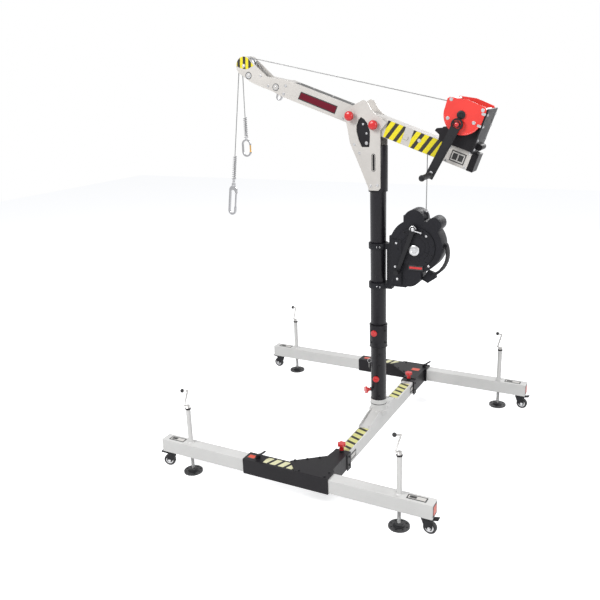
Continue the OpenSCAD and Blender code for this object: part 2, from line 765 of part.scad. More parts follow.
// Lug with a round eye under the boom
module anchor_eye() {
    rim = eye_r + 9;
    eye_h = under_h(-eye_s) - eye_drop;
    color("silver") at_boom() slab(-eye_t / 2, eye_t / 2) difference() {
        union() {
            translate([-eye_s, eye_h]) circle(rim);
            polygon([[-eye_s - rim, eye_h], [-eye_s + rim, eye_h],
                [-eye_s + rim, under_h(rim - eye_s)], [-eye_s - rim, under_h(-rim - eye_s)]]);
        }
        translate([-eye_s, eye_h]) circle(eye_r);
    }
}

// Black frame that carries the winch on top of the boom
module winch_frame() {
    base_t = 8;
    cheek_y = 60;
    back_half = winch_half + winch_t;
    color("dimgray") at_boom() difference() {
        union() {
            slab(-back_half, back_half) translate([frame_s, boom_up]) square([frame_t, 252]);
            slab(-cheek_y, cheek_y) translate([400, boom_up]) square([frame_s - 399, base_t]);
            for (s = [-1, 1]) translate([0, s * (cheek_y + 3), 0]) slab(-3, 3) polygon([
                [400, boom_up], [frame_s + 1, boom_up], [frame_s + 1, 186], [560, 170],
                [430, 140], [366, 112], [360, 96], [392, 84]
            ]);
            slab(-46, 46) translate([420, boom_up + base_t - over]) square([46, 34]);
            slab(-46, 46) translate([540, boom_up + base_t - over]) square([60, 50]);
            translate([628, 0, 92]) bar(17, -44, 44);
            slab(-44, 44) translate([frame_s, 75]) square([22, 34]);
        }
        for (s = [-1, 1]) translate([frame_s - over, s * 60, 240]) rotate([0, 90, 0])
            cylinder(r = 5.5, h = frame_t + 2 * over);
    }
}

// Outline of a winch side plate
module winch_plate_outline() {
    difference() {
        union() {
            intersection() {
                translate([492, 237]) circle(plate_r);
                translate([492 - plate_r, 237 - plate_r]) square([2 * plate_r, plate_r + 1]);
            }
            polygon([
                [492 - plate_r, 237], [376, 288], [386, 299], [483, 317], [590, 311],
                [603, 299], [492 + plate_r, 237]
            ]);
        }
        translate([drum_s, drum_h]) circle(drum_shaft_r + run_gap);
    }
}

// Pair of red side plates with their lugs to the frame
module winch_plates() {
    color("red") at_boom() difference() {
        for (s = [-1, 1]) {
            translate([0, s * (winch_half + winch_t / 2), 0]) slab(-winch_t / 2, winch_t / 2) {
                winch_plate_outline();
                translate([590, 200]) square([frame_s - 590, 16]);
                translate([590, 266]) square([frame_s - 590, 16]);
            }
        }
        translate([drum_s, 0, drum_h - crank_drop]) bar(crank_shaft_r + run_gap, -winch_half - 20, 0);
    }
}

// Drum with its flanges, shaft and gear wheel
module winch_drum() {
    head = winch_half + winch_t;
    color("silver") at_boom() translate([drum_s, 0, drum_h]) {
        bar(drum_r, -drum_half - 1, drum_half + 1);
        bar(flange_r, -drum_half - 5, -drum_half);
        bar(flange_r, drum_half, drum_half + 5);
        bar(drum_shaft_r, -head - 3, head + 3);
        bar(drum_shaft_r + 13, -head - 6, -head - seat_gap);
        bar(drum_shaft_r + 13, head + seat_gap, head + 6);
        bar(gear_r, -winch_half + 12, -winch_half + 12 + gear_t);
    }
}

// Outer layer of rope on the drum, with straight ends
drum_steps = 24;
wind_points = [
    for (i = [0:drum_steps * drum_loops])
        let (a = 360 * i / drum_steps)
        [wind_r * cos(a), wind_width * (i / (drum_steps * drum_loops) - 0.5), wind_r * sin(a)]
];
wind_refs = [for (i = [0:drum_steps * drum_loops]) let (a = 360 * i / drum_steps) [cos(a), 0, sin(a)]];
wind_path = concat(
    [wind_points[0] - [0, 0, rope_d]], wind_points, [wind_points[len(wind_points) - 1] + [0, 0, rope_d]]
);
wind_path_refs = concat([wind_refs[0]], wind_refs, [wind_refs[len(wind_refs) - 1]]);
echo("least gap in the drum's winding", least_gap(wind_path, rope_r, 12));

module drum_rope() {
    color("silver") at_boom() translate([drum_s, 0, drum_h]) tube(wind_path, wind_path_refs, rope_r, 6);
}

// Winch crank: ring head on the input shaft, and a flat arm
module winch_crank() {
    color("dimgray") at_boom() translate([drum_s, 0, drum_h - crank_drop]) {
        bar(crank_shaft_r, -crank_y - 2, -winch_half + 12 + gear_t);
        bar(pinion_r, -winch_half + 12, -winch_half + 12 + gear_t);
        rotate([0, crank_turn, 0]) {
            slab(-crank_y - crank_t, -crank_y) {
                difference() {
                    circle(crank_ring_r);
                    circle(crank_ring_r - 9);
                }
                circle(crank_shaft_r + 5);
                translate([-crank_ring_r + 4, -5]) square([2 * crank_ring_r - 8, 10]);
                polygon([[-27, -crank_ring_r + 14], [27, -crank_ring_r + 14], [25, -crank_len - 16], [-25, -crank_len - 16]]);
            }
            translate([0, 0, -crank_len]) {
                bar(6, -crank_y - crank_t - grip_len - 4, -crank_y);
                bar(9, -crank_y - crank_t - grip_len - 8, -crank_y - crank_t - grip_len - 2);
            }
        }
    }
}

// Turning grip of the winch crank
module crank_grip() {
    grip_r = 15;
    grip_y = crank_y + crank_t + 1;
    color("dimgray") at_boom() translate([drum_s, 0, drum_h - crank_drop]) rotate([0, crank_turn, 0])
        translate([0, -grip_y, -crank_len]) rotate([90, 0, 0]) rotate_extrude() polygon([
            [6 + run_gap, 0], [grip_r + 4, 0], [grip_r + 4, 5], [grip_r, 9], [grip_r + 1, grip_len / 2],
            [grip_r, grip_len - 14], [grip_r + 3, grip_len - 8], [grip_r + 3, grip_len - 4], [6 + run_gap, grip_len - 4]
        ]);
}

// Places a child at the lower end of the hoisting rope's fall, along the fall
module at_hook() {
    translate(winch_fall_route[1]) rotate([0, fall_lean, 0]) children();
}

// Places a child at the lower end of the lifeline's fall
module at_carabiner() {
    translate(life_fall_route[1]) children();
}

// Adds even steps to a route, no longer than the given step
function fine(route, step) = [
    for (i = [0:len(route) - 2])
        let (n = max(1, ceil(norm(route[i + 1] - route[i]) / step)))
        for (k = [0:n - 1]) route[i] + (route[i + 1] - route[i]) * k / n,
    route[len(route) - 1]
];

module winch_line() {
    color("silver") rope(fine(winch_line_route, 28), rope_r);
}

module winch_fall() {
    color("silver") rope(fine(winch_fall_route, 18), rope_r);
}

module life_line() {
    color("silver") rope(fine(life_line_route, 30), rope_r);
}

module life_line_lower() {
    color("silver") rope(fine(life_lower_route, 18), rope_r);
}

// The falls end on the hook and on the carabiner
module life_fall() {
    color("silver") rope(fine(life_fall_route, 18), rope_r);
}

// Bumper spring: curls of round wire over the end of a rope
spring_steps = 8;
function spring_turn(i) = 360 * i / spring_steps;
function spring_middle(curls) = [
    for (i = [0:spring_steps * curls])
        let (a = spring_turn(i))
        [spring_r * cos(a), spring_r * sin(a), 2 * spring_wire_r + spring_pitch * i / spring_steps]
];
function spring_path(curls) =
    let (m = spring_middle(curls), d = [0, 0, 2 * spring_wire_r])
    concat([m[0] - d], m, [m[len(m) - 1] + d]);
function spring_refs(curls) =
    let (m = [for (i = [0:spring_steps * curls]) [cos(spring_turn(i)), sin(spring_turn(i)), 0]])
    concat([m[0]], m, [m[len(m) - 1]]);
echo("least gap in a bumper spring", least_gap(spring_path(spring_curls), spring_wire_r, 5));

module bumper_spring(curls) {
    tube(spring_path(curls), spring_refs(curls), spring_wire_r, 6);
}

module hook_bumper() {
    color("dimgray") at_hook() bumper_spring(spring_curls);
}

module life_bumper() {
    color("dimgray") at_carabiner() bumper_spring(spring_curls - 2);
}

// Long ring with round ends, from the height z0 down to z1
module long_ring(r, z0, z1) {
    translate([0, z0 - r]) circle(r);
    translate([0, z1 + r]) circle(r);
    translate([-r, z1 + r]) square([2 * r, z0 - z1 - 2 * r]);
}

// Swivelling snap hook under the hoisting rope
module snap_hook() {
    bar_t = 12;
    half_t = 7;
    color("silver") at_hook() {
        cylinder_to(15, -4, -seat_gap);
        cylinder_to(8, -40, -3);
        cylinder_to(13, -52, -34);
        difference() {
            slab(-half_t, half_t) difference() {
                long_ring(hook_w, -50, -hook_len);
                long_ring(hook_w - bar_t, -78, bar_t - hook_len);
                translate([hook_w - bar_t - 2, hook_tip_z]) square([bar_t + 4, hook_hinge_z - hook_tip_z]);
            }
            slab(-hook_gate_half - seat_gap, hook_gate_half + seat_gap)
                translate([hook_w - bar_t - 6, hook_hinge_z - 16]) square([bar_t + 8, 28]);
            translate([hook_w - bar_t / 2, 0, hook_hinge_z]) bar(gate_pin_r + run_gap, -half_t - over, half_t + over);
        }
    }
}

// Spring gate of the snap hook
module hook_gate() {
    color("silver") at_hook() translate([hook_w - 6, 0, hook_hinge_z]) {
        bar(gate_pin_r, -9, 9);
        slab(-hook_gate_half, hook_gate_half) {
            circle(7);
            translate([-4.5, hook_tip_z - hook_hinge_z + seat_gap]) square([9, hook_hinge_z - hook_tip_z]);
        }
    }
}

// Oval carabiner on the end of the lifeline
module carabiner() {
    bar_t = 10;
    half_t = 5.5;
    color("silver") at_carabiner() {
        cylinder_to(15, -4, 0);
        cylinder_to(7, -20, -3);
        difference() {
            slab(-half_t, half_t) difference() {
                long_ring(carabiner_w, -16, -carabiner_len);
                long_ring(carabiner_w - bar_t, -16 - bar_t, bar_t - carabiner_len);
                translate([carabiner_w - bar_t - 2, carabiner_hinge_z])
                    square([bar_t + 4, carabiner_tip_z - carabiner_hinge_z]);
            }
            slab(-carabiner_gate_half - seat_gap, carabiner_gate_half + seat_gap)
                translate([carabiner_w - bar_t - 5, carabiner_hinge_z - 12]) square([bar_t + 7, 24]);
            translate([carabiner_w - bar_t / 2, 0, carabiner_hinge_z])
                bar(gate_pin_r + run_gap, -half_t - over, half_t + over);
        }
    }
}

// Golden gate of the carabiner
module carabiner_gate() {
    color("goldenrod") at_carabiner() translate([carabiner_w - 5, 0, carabiner_hinge_z]) {
        bar(gate_pin_r, -7.5, 7.5);
        slab(-carabiner_gate_half, carabiner_gate_half) {
            circle(6);
            translate([-4, 0]) square([8, carabiner_tip_z - carabiner_hinge_z - seat_gap]);
        }
    }
}

// Outline of the retrieval block's housing
module block_outline() {
    translate([block_x, block_z]) circle(block_r);
    translate([250, 1542]) circle(64);
    translate([374, 1520]) circle(44);
    translate([222, 1204]) circle(76);
    translate([block_left, 1120]) square([112, 320]);
    translate([block_left + 90, 1240]) square([60, 330]);
}

// Retrieval block with its carrying handle and the clamps on the mast
module arrester_body() {
    half = block_t / 2;
    handle_x = 300;
    handle_z = 1338;
    color("dimgray") at_mast() difference() {
        union() {
            slab(-half, half) block_outline();
            slab(-half - 7, half + 7) translate([block_x, block_z - 6]) circle(block_r - 42);
            slab(-half - 9, half + 9) translate([block_left + 14, 1136]) square([70, 284]);
            translate([258, 0, 1361]) bar(30, -half - 14, half + 14);
            slab(-18, 18) intersection() {
                difference() {
                    translate([handle_x, handle_z]) circle(156);
                    translate([handle_x, handle_z]) circle(139);
                }
                polygon([[handle_x, handle_z], [520, 1440], [520, 1140], [370, 1140]]);
            }
            slab(-14, 14) polygon([[290, 1170], [330, 1150], [382, 1188], [374, 1216], [330, 1230]]);
            translate([302, 18, 1540]) cylinder(r = 13, h = 52);
            for (z = [clamp_low_z, clamp_top_z]) {
                translate([0, 0, z - clamp_h / 2]) cylinder(r = mast_r + clamp_t, h = clamp_h);
                translate([mast_r, -24, z - clamp_h / 2]) cube([block_left - mast_r + 4, 48, clamp_h]);
            }
            translate([mast_r + 16, -24, clamp_low_z - 10]) cube([14, 48, clamp_top_z - clamp_low_z + 20]);
            for (z = [clamp_low_z, clamp_top_z]) translate([18, -mast_r - clamp_t - 8, z - 12]) cube([16, 20, 24]);
        }
        cylinder_to(mast_r + 0.1, clamp_low_z - clamp_h, clamp_top_z + clamp_h);
        translate([block_hub_x, 0, block_hub_z]) bar(block_crank_r + run_gap, -half - 10, -half + 22);
    }
}

// Folding crank on the near side of the retrieval block
module arrester_crank() {
    half = block_t / 2;
    arm_y = half + 18;
    arm_t = 9;
    color("dimgray") at_mast() translate([block_hub_x, 0, block_hub_z]) {
        bar(block_crank_r, -arm_y - 1, -half + 21);
        bar(24, -arm_y - arm_t - 3, -arm_y);
        rotate([0, 20, 0]) {
            slab(-arm_y - arm_t, -arm_y) polygon([[-14, 0], [14, 0], [11, -block_crank_len], [-11, -block_crank_len]]);
            translate([0, 0, -block_crank_len]) bar(15, -arm_y - arm_t - 26, -arm_y);
        }
    }
}

centre_beam();
mast_socket();
sleeve(-1, latch_x_front);  // front_sleeve
sleeve(1, latch_x_back);  // back_sleeve
beam_plunger(-1);  // front_beam_plunger
beam_plunger(1);  // back_beam_plunger
leg_latch(-1, latch_x_front);  // front_latch
leg_latch(1, latch_x_back);  // back_latch
leg(-1, front_left_reach, -1);  // leg_fl
leg(1, front_right_reach, -1);  // leg_fr
leg(-1, back_left_reach, 1);  // leg_bl
leg(1, back_right_reach, 1);  // leg_br
jack_foot(-1, front_left_reach, -1);  // jack_foot_fl
jack_foot(1, front_right_reach, -1);  // jack_foot_fr
jack_foot(-1, back_left_reach, 1);  // jack_foot_bl
jack_foot(1, back_right_reach, 1);  // jack_foot_br
jack_crank(-1, front_left_reach, -1, crank_turn_fl);  // jack_crank_fl
jack_crank(1, front_right_reach, -1, crank_turn_fr);  // jack_crank_fr
jack_crank(-1, back_left_reach, 1, crank_turn_bl);  // jack_crank_bl
jack_crank(1, back_right_reach, 1, crank_turn_br);  // jack_crank_br
castor_fork(-1, front_left_reach, -1, fork_turn_fl);  // castor_fork_fl
castor_fork(1, front_right_reach, -1, fork_turn_fr);  // castor_fork_fr
castor_fork(-1, back_left_reach, 1, fork_turn_bl);  // castor_fork_bl
castor_fork(1, back_right_reach, 1, fork_turn_br);  // castor_fork_br
castor_wheel(-1, front_left_reach, -1, fork_turn_fl);  // castor_wheel_fl
castor_wheel(1, front_right_reach, -1, fork_turn_fr);  // castor_wheel_fr
castor_wheel(-1, back_left_reach, 1, fork_turn_bl);  // castor_wheel_bl
castor_wheel(1, back_right_reach, 1, fork_turn_br);  // castor_wheel_br
lower_mast();
upper_mast();
mast_plunger();
head_plate_near();
head_plate_far();
boom_pivot_pin();
boom_lock_pin();
arrester_body();
arrester_crank();
boom_beam();
boom_end_cap();
winch_sheave();
life_sheave();
rear_pulley();
anchor_eye();
winch_frame();
winch_plates();
winch_drum();
drum_rope();
winch_crank();
crank_grip();
winch_line();
winch_fall();
hook_bumper();
snap_hook();
hook_gate();
life_line();
life_line_lower();
life_fall();
life_bumper();
carabiner();
carabiner_gate();
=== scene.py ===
"""Portable davit crane: looks, ropes and small parts over the CAD frame.

Metres, with the floor at z = 0 and the nose towards -X.
"""
import math

import bpy
from mathutils import Matrix, Vector


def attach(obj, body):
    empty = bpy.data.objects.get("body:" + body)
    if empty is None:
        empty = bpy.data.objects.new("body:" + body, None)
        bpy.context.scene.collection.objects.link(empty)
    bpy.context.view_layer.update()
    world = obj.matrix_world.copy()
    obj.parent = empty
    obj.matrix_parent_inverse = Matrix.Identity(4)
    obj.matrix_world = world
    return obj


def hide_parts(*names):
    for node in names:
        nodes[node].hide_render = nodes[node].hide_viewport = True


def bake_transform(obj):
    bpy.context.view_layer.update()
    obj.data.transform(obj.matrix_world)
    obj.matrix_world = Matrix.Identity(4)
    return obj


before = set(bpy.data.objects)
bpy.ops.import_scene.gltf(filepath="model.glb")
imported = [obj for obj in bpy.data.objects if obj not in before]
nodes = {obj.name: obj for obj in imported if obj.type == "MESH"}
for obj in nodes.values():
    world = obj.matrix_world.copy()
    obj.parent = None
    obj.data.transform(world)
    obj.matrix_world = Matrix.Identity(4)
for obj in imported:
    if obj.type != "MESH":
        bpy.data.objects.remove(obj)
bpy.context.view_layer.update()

# Camera, fitted to the photograph
YAW, PITCH, ROLL = (math.radians(a) for a in (28.68, 16.94, 2.08))
forward = Vector((-math.sin(YAW) * math.cos(PITCH), math.cos(YAW) * math.cos(PITCH), -math.sin(PITCH)))
level = Vector((math.cos(YAW), math.sin(YAW), 0))
down = forward.cross(level)
right = level * math.cos(ROLL) + down * math.sin(ROLL)
up = level * math.sin(ROLL) - down * math.cos(ROLL)
EYE = Vector((1.8839, -4.0368, 2.3378))
cam = bpy.data.objects.new("camera", bpy.data.cameras.new("camera"))
cam.data.sensor_width = 36
cam.data.lens = 42.26
cam.data.clip_end = 100
cam.matrix_world = Matrix((
    (right.x, up.x, -forward.x, EYE.x),
    (right.y, up.y, -forward.y, EYE.y),
    (right.z, up.z, -forward.z, EYE.z),
    (0, 0, 0, 1),
))
bpy.context.collection.objects.link(cam)
bpy.context.scene.camera = cam

# Frame of the boom: s runs to the rear and h up from the boom's axis
TILT = math.radians(20)
S = Vector((math.cos(TILT), 0, -math.sin(TILT)))
H = Vector((math.sin(TILT), 0, math.cos(TILT)))
X, Y, Z = Vector((1, 0, 0)), Vector((0, 1, 0)), Vector((0, 0, 1))

# The mast's x and radius, the legs' distance from it in y, and heights of the base, in metres
MAST, MAST_R = 0.25, 0.05
LEG_Y = 0.87
LEG_MID = 0.162
LEG_TOP = 0.205
SLEEVE_TOP = 0.2105
GUSSET_TOP = SLEEVE_TOP + 0.006
# Radius of the ordinary screws
SCREW_R = 0.0055
CORNERS = ("fl", "fr", "bl", "br")
SIDES = {-1: "near", 1: "far"}

# Places in the boom's frame, in millimetres: half width, and (s, h) of what turns or holds on its sides
BOOM_HALF = 48
NOSE = (-965, 41)
LOCK_S = -158
WINCH_FACE = 103
DRUM = (482, 231)
PINION = (482, 178)
WINCH_BOLTS = ((415, 190), (562, 214), (398, 290), (584, 292))

# Places from the mast's axis, in millimetres: side faces, and (x, z) of the block's centre and crank hub
HEAD_FACE = 62
BLOCK_FACE = 62
BLOCK_RIM = 61.8
CLAMP_FACE = 63.8
BLOCK = (262, 1379)
BLOCK_HUB = (254, 1492)


def on_boom(s, y, h):
    """A point in the boom's frame, given in millimetres."""
    return Vector((MAST, 0, 2.1)) + S * (s / 1000) + H * (h / 1000) + Y * (y / 1000)


def mm(x, y, z):
    """A point from the mast's axis, given in millimetres."""
    return Vector((MAST + x / 1000, y / 1000, z / 1000))


# Materials
def shader(name, color, rough, metal=0.0, coat=0.0):
    """A new material, with its node tree and its main shader."""
    m = bpy.data.materials.new(name)
    m.use_nodes = True
    p = m.node_tree.nodes["Principled BSDF"]
    p.inputs["Base Color"].default_value = (*color, 1)
    p.inputs["Roughness"].default_value = rough
    p.inputs["Metallic"].default_value = metal
    p.inputs["Coat Weight"].default_value = coat
    p.inputs["Coat Roughness"].default_value = 0.15
    return m, m.node_tree, p


def node(tree, kind, inputs=(), **props):
    """A new node; an input is a socket to link or a plain value."""
    n = tree.nodes.new(kind)
    for k, v in props.items():
        setattr(n, k, v)
    for k, v in dict(inputs).items():
        if isinstance(v, bpy.types.NodeSocket):
            tree.links.new(v, n.inputs[k])
        else:
            n.inputs[k].default_value = v
    return n


def coords(tree, space="Object"):
    return node(tree, "ShaderNodeTexCoord").outputs[space]


def ramp(tree, fac, stops):
    """A colour that goes between two stops, each a place and a colour."""
    n = node(tree, "ShaderNodeValToRGB", {"Fac": fac})
    for element, (place, color) in zip(n.color_ramp.elements, stops):
        element.position, element.color = place, (*color, 1)
    return n.outputs["Color"]


def mix(tree, fac, a, b):
    """Colour a where the factor is 0 and b where it is 1."""
    n = node(tree, "ShaderNodeMix", data_type="RGBA")
    for i, v in ((0, fac), (6, a), (7, b)):
        if isinstance(v, bpy.types.NodeSocket):
            tree.links.new(v, n.inputs[i])
        else:
            n.inputs[i].default_value = v if i == 0 else (*v, 1)
    return n.outputs[2]


def shade(color, k):
    """A colour made darker or lighter by one factor."""
    return tuple(min(1.0, x * k) for x in color)


# How far worn places are rougher or smoother than the rest
WEAR = 0.08


def surface(name, color, rough, metal=0.0, coat=0.0, grain=900, bump=0.12, depth=0.0004, tone=0.06, scuff=0.0,
            scuff_color=None, spec=0.5):
    """Paint, metal or plastic with a fine grain, a slow change of tone, worn roughness and light scuffs."""
    m, t, p = shader(name, color, rough, metal, coat)
    p.inputs["Specular IOR Level"].default_value = spec
    place = coords(t)
    slow = node(t, "ShaderNodeTexNoise", {"Vector": place, "Scale": 6, "Detail": 5}).outputs["Fac"]
    fine = node(t, "ShaderNodeTexNoise", {"Vector": place, "Scale": grain, "Detail": 3}).outputs["Fac"]
    col = ramp(t, slow, [(0.3, shade(color, 1 - tone)), (0.7, shade(color, 1 + tone))])
    if scuff:
        marks = node(t, "ShaderNodeTexNoise", {"Vector": place, "Scale": 38, "Detail": 9, "Roughness": 0.72})
        edge = ramp(t, marks.outputs["Fac"], [(0.66, (0, 0, 0)), (0.76, (scuff,) * 3)])
        col = mix(t, edge, col, scuff_color or shade(color, 0.6))
    t.links.new(col, p.inputs["Base Color"])
    wear = node(t, "ShaderNodeMapRange", {"Value": slow, "From Min": 0.25, "From Max": 0.75,
                                          "To Min": max(0.03, rough - WEAR), "To Max": min(1, rough + WEAR)})
    t.links.new(wear.outputs[0], p.inputs["Roughness"])
    b = node(t, "ShaderNodeBump", {"Height": fine, "Strength": bump, "Distance": depth})
    t.links.new(b.outputs[0], p.inputs["Normal"])
    return m


def striped(name, light, dark, pitch, slope, rough, grit, share=0.5):
    """Slanted hazard stripes laid out on the piece's own flat map, in metres."""
    m, t, p = shader(name, light, rough)
    uv = node(t, "ShaderNodeSeparateXYZ", {"Vector": coords(t, "UV")})
    lean = node(t, "ShaderNodeMath", {0: uv.outputs[1], 1: slope}, operation="MULTIPLY").outputs[0]
    run = node(t, "ShaderNodeMath", {0: uv.outputs[0], 1: lean}, operation="ADD").outputs[0]
    turns = node(t, "ShaderNodeMath", {0: run, 1: pitch}, operation="DIVIDE").outputs[0]
    part = node(t, "ShaderNodeMath", {0: turns}, operation="FRACT").outputs[0]
    pick = node(t, "ShaderNodeMath", {0: part, 1: 1 - share}, operation="GREATER_THAN").outputs[0]
    worn = node(t, "ShaderNodeTexNoise", {"Vector": coords(t), "Scale": 120, "Detail": 6}).outputs["Fac"]
    a = ramp(t, worn, [(0.35, shade(light, 0.9)), (0.65, shade(light, 1.04))])
    b = ramp(t, worn, [(0.35, shade(dark, 0.7)), (0.65, shade(dark, 1.4))])
    t.links.new(mix(t, pick, a, b), p.inputs["Base Color"])
    grain = node(t, "ShaderNodeTexNoise", {"Vector": coords(t), "Scale": 1600, "Detail": 2}).outputs["Fac"]
    bump = node(t, "ShaderNodeBump", {"Height": grain, "Strength": grit, "Distance": 0.0004})
    t.links.new(bump.outputs[0], p.inputs["Normal"])
    return m


def threaded(name, color, pitch, pad_top):
    """Steel screw with a fine thread along Z, on a black coated pad."""
    m, t, p = shader(name, color, 0.35, 0.9)
    z = node(t, "ShaderNodeSeparateXYZ", {"Vector": coords(t)}).outputs[2]
    turns = node(t, "ShaderNodeMath", {0: z, 1: math.tau / pitch}, operation="MULTIPLY").outputs[0]
    wave = node(t, "ShaderNodeMath", {0: turns}, operation="SINE").outputs[0]
    oil = node(t, "ShaderNodeTexNoise", {"Vector": coords(t), "Scale": 60, "Detail": 4}).outputs["Fac"]
    steel = ramp(t, oil, [(0.35, shade(color, 0.75)), (0.65, shade(color, 1.1))])
    low = node(t, "ShaderNodeMath", {0: z, 1: pad_top}, operation="LESS_THAN").outputs[0]
    high = node(t, "ShaderNodeMath", {0: 1.0, 1: low}, operation="SUBTRACT").outputs[0]
    t.links.new(mix(t, low, steel, (0.022, 0.022, 0.024)), p.inputs["Base Color"])
    metal = node(t, "ShaderNodeMath", {0: high, 1: 0.9}, operation="MULTIPLY").outputs[0]
    t.links.new(metal, p.inputs["Metallic"])
    dull = node(t, "ShaderNodeMapRange", {"Value": low, "To Min": 0.35, "To Max": 0.5})
    t.links.new(dull.outputs[0], p.inputs["Roughness"])
    lift = node(t, "ShaderNodeMath", {0: wave, 1: high}, operation="MULTIPLY").outputs[0]
    b = node(t, "ShaderNodeBump", {"Height": lift, "Strength": 0.6, "Distance": 0.0012})
    t.links.new(b.outputs[0], p.inputs["Normal"])
    return m


WARM = (0.555, 0.53, 0.50)
YELLOW = (0.80, 0.68, 0.012)
INK = (0.010, 0.008, 0.007)
M = {
    "boom": surface("boom_paint", WARM, 0.42, 0.15, 0.15, bump=0.06, tone=0.035, scuff=0.25,
                    scuff_color=(0.42, 0.40, 0.37)),
    "leg": surface("leg_paint", (0.645, 0.64, 0.625), 0.45, 0.1, 0.1, bump=0.06, tone=0.04, scuff=0.3,
                   scuff_color=(0.45, 0.44, 0.42)),
    "black": surface("black_powder_coat", (0.011, 0.010, 0.012), 0.42, 0.0, 0.0, grain=1400, bump=0.3,
                     depth=0.0005, tone=0.2, scuff=0.35, scuff_color=(0.06, 0.06, 0.06), spec=0.2),
    "mast": surface("mast_powder_coat", (0.010, 0.009, 0.012), 0.36, 0.0, 0.05, grain=1400, bump=0.25,
                    depth=0.0005, tone=0.2, scuff=0.3, scuff_color=(0.05, 0.05, 0.05), spec=0.22),
    "housing": surface("moulded_housing", (0.009, 0.009, 0.012), 0.5, 0.0, 0.0, grain=1100, bump=0.5,
                       depth=0.0006, tone=0.25, scuff=0.3, scuff_color=(0.05, 0.05, 0.05), spec=0.22),
    "cast": surface("black_cast_metal", (0.017, 0.017, 0.019), 0.45, 0.2, 0.0, grain=700, bump=0.5,
                    depth=0.0006, tone=0.2, scuff=0.4, scuff_color=(0.12, 0.12, 0.12), spec=0.25),
    "red": surface("red_plate_paint", (0.78, 0.035, 0.025), 0.34, 0.0, 0.35, bump=0.05, tone=0.08, scuff=0.2,
                   scuff_color=(0.4, 0.02, 0.02)),
    "knob": surface("red_knob_plastic", (0.62, 0.012, 0.014), 0.3, 0.0, 0.3, grain=500, bump=0.05, tone=0.08),
    "zinc": surface("zinc_plate", (0.55, 0.55, 0.56), 0.3, 0.9, grain=300, bump=0.08, tone=0.12, scuff=0.25,
                    scuff_color=(0.35, 0.35, 0.34)),
    "chrome": surface("bright_plate", (0.40, 0.40, 0.41), 0.22, 1.0, grain=200, bump=0.03, tone=0.05),
    "crank": surface("zinc_crank", (0.48, 0.47, 0.46), 0.36, 0.6, grain=400, bump=0.06, tone=0.1, scuff=0.2),
    "pad": surface("dark_pad_rubber", (0.025, 0.025, 0.026), 0.7, grain=600, bump=0.5, depth=0.0008,
                   tone=0.25),
    "tyre": surface("castor_tyre", (0.016, 0.016, 0.017), 0.6, grain=500, bump=0.4, depth=0.0008, tone=0.2,
                    scuff=0.4, scuff_color=(0.06, 0.055, 0.05)),
    "grip": surface("grip_rubber", (0.015, 0.015, 0.016), 0.62, grain=900, bump=0.6, depth=0.0008, tone=0.2),
    "gold": surface("gold_alloy", (0.62, 0.36, 0.10), 0.28, 0.95, grain=300, bump=0.05, tone=0.1),
    "rope": surface("galvanised_wire", (0.27, 0.27, 0.27), 0.42, 0.7, grain=2500, bump=0.3, depth=0.0003,
                    tone=0.15),
    "spring": surface("spring_wire", (0.26, 0.26, 0.27), 0.3, 0.95, grain=900, bump=0.1, tone=0.1),
    "screw": threaded("jack_screw", (0.42, 0.42, 0.42), 0.003, 0.0275),
    "maroon": surface("maroon_panel", (0.13, 0.002, 0.014), 0.5, bump=0.04, tone=0.12, spec=0.2),
    "orange": surface("orange_panel", (0.66, 0.07, 0.03), 0.42, 0.0, 0.1, bump=0.05, tone=0.12),
    "plate": surface("pale_label", (0.62, 0.60, 0.57), 0.4, 0.0, 0.1, bump=0.04, tone=0.05),
    "frame": surface("label_border", (0.02, 0.02, 0.02), 0.45, bump=0.1, tone=0.2),
    "tape": striped("boom_hazard_tape", YELLOW, INK, 0.0525, -0.35, 0.45, 0.12, 0.45),
    "nose": striped("nose_hazard_tape", YELLOW, INK, 0.043, 0.32, 0.42, 0.12),
    "pads": striped("anti_slip_tape", (0.74, 0.72, 0.45), (0.012, 0.012, 0.012), 0.056, -0.33, 0.7, 0.7,
                    0.34),
    "steps": striped("beam_anti_slip_tape", (0.70, 0.68, 0.27), (0.016, 0.016, 0.016), 0.062, -0.36, 0.7, 0.7,
                     0.38),
}


# Mesh building
def across(path, refs):
    """Each point of a path with two directions square to the path there, the first one towards its ref."""
    for i, (p, ref) in enumerate(zip(path, refs)):
        d = (path[min(i + 1, len(path) - 1)] - path[max(i - 1, 0)]).normalized()
        a = (ref - d * ref.dot(d)).normalized()
        yield p, a, d.cross(a)


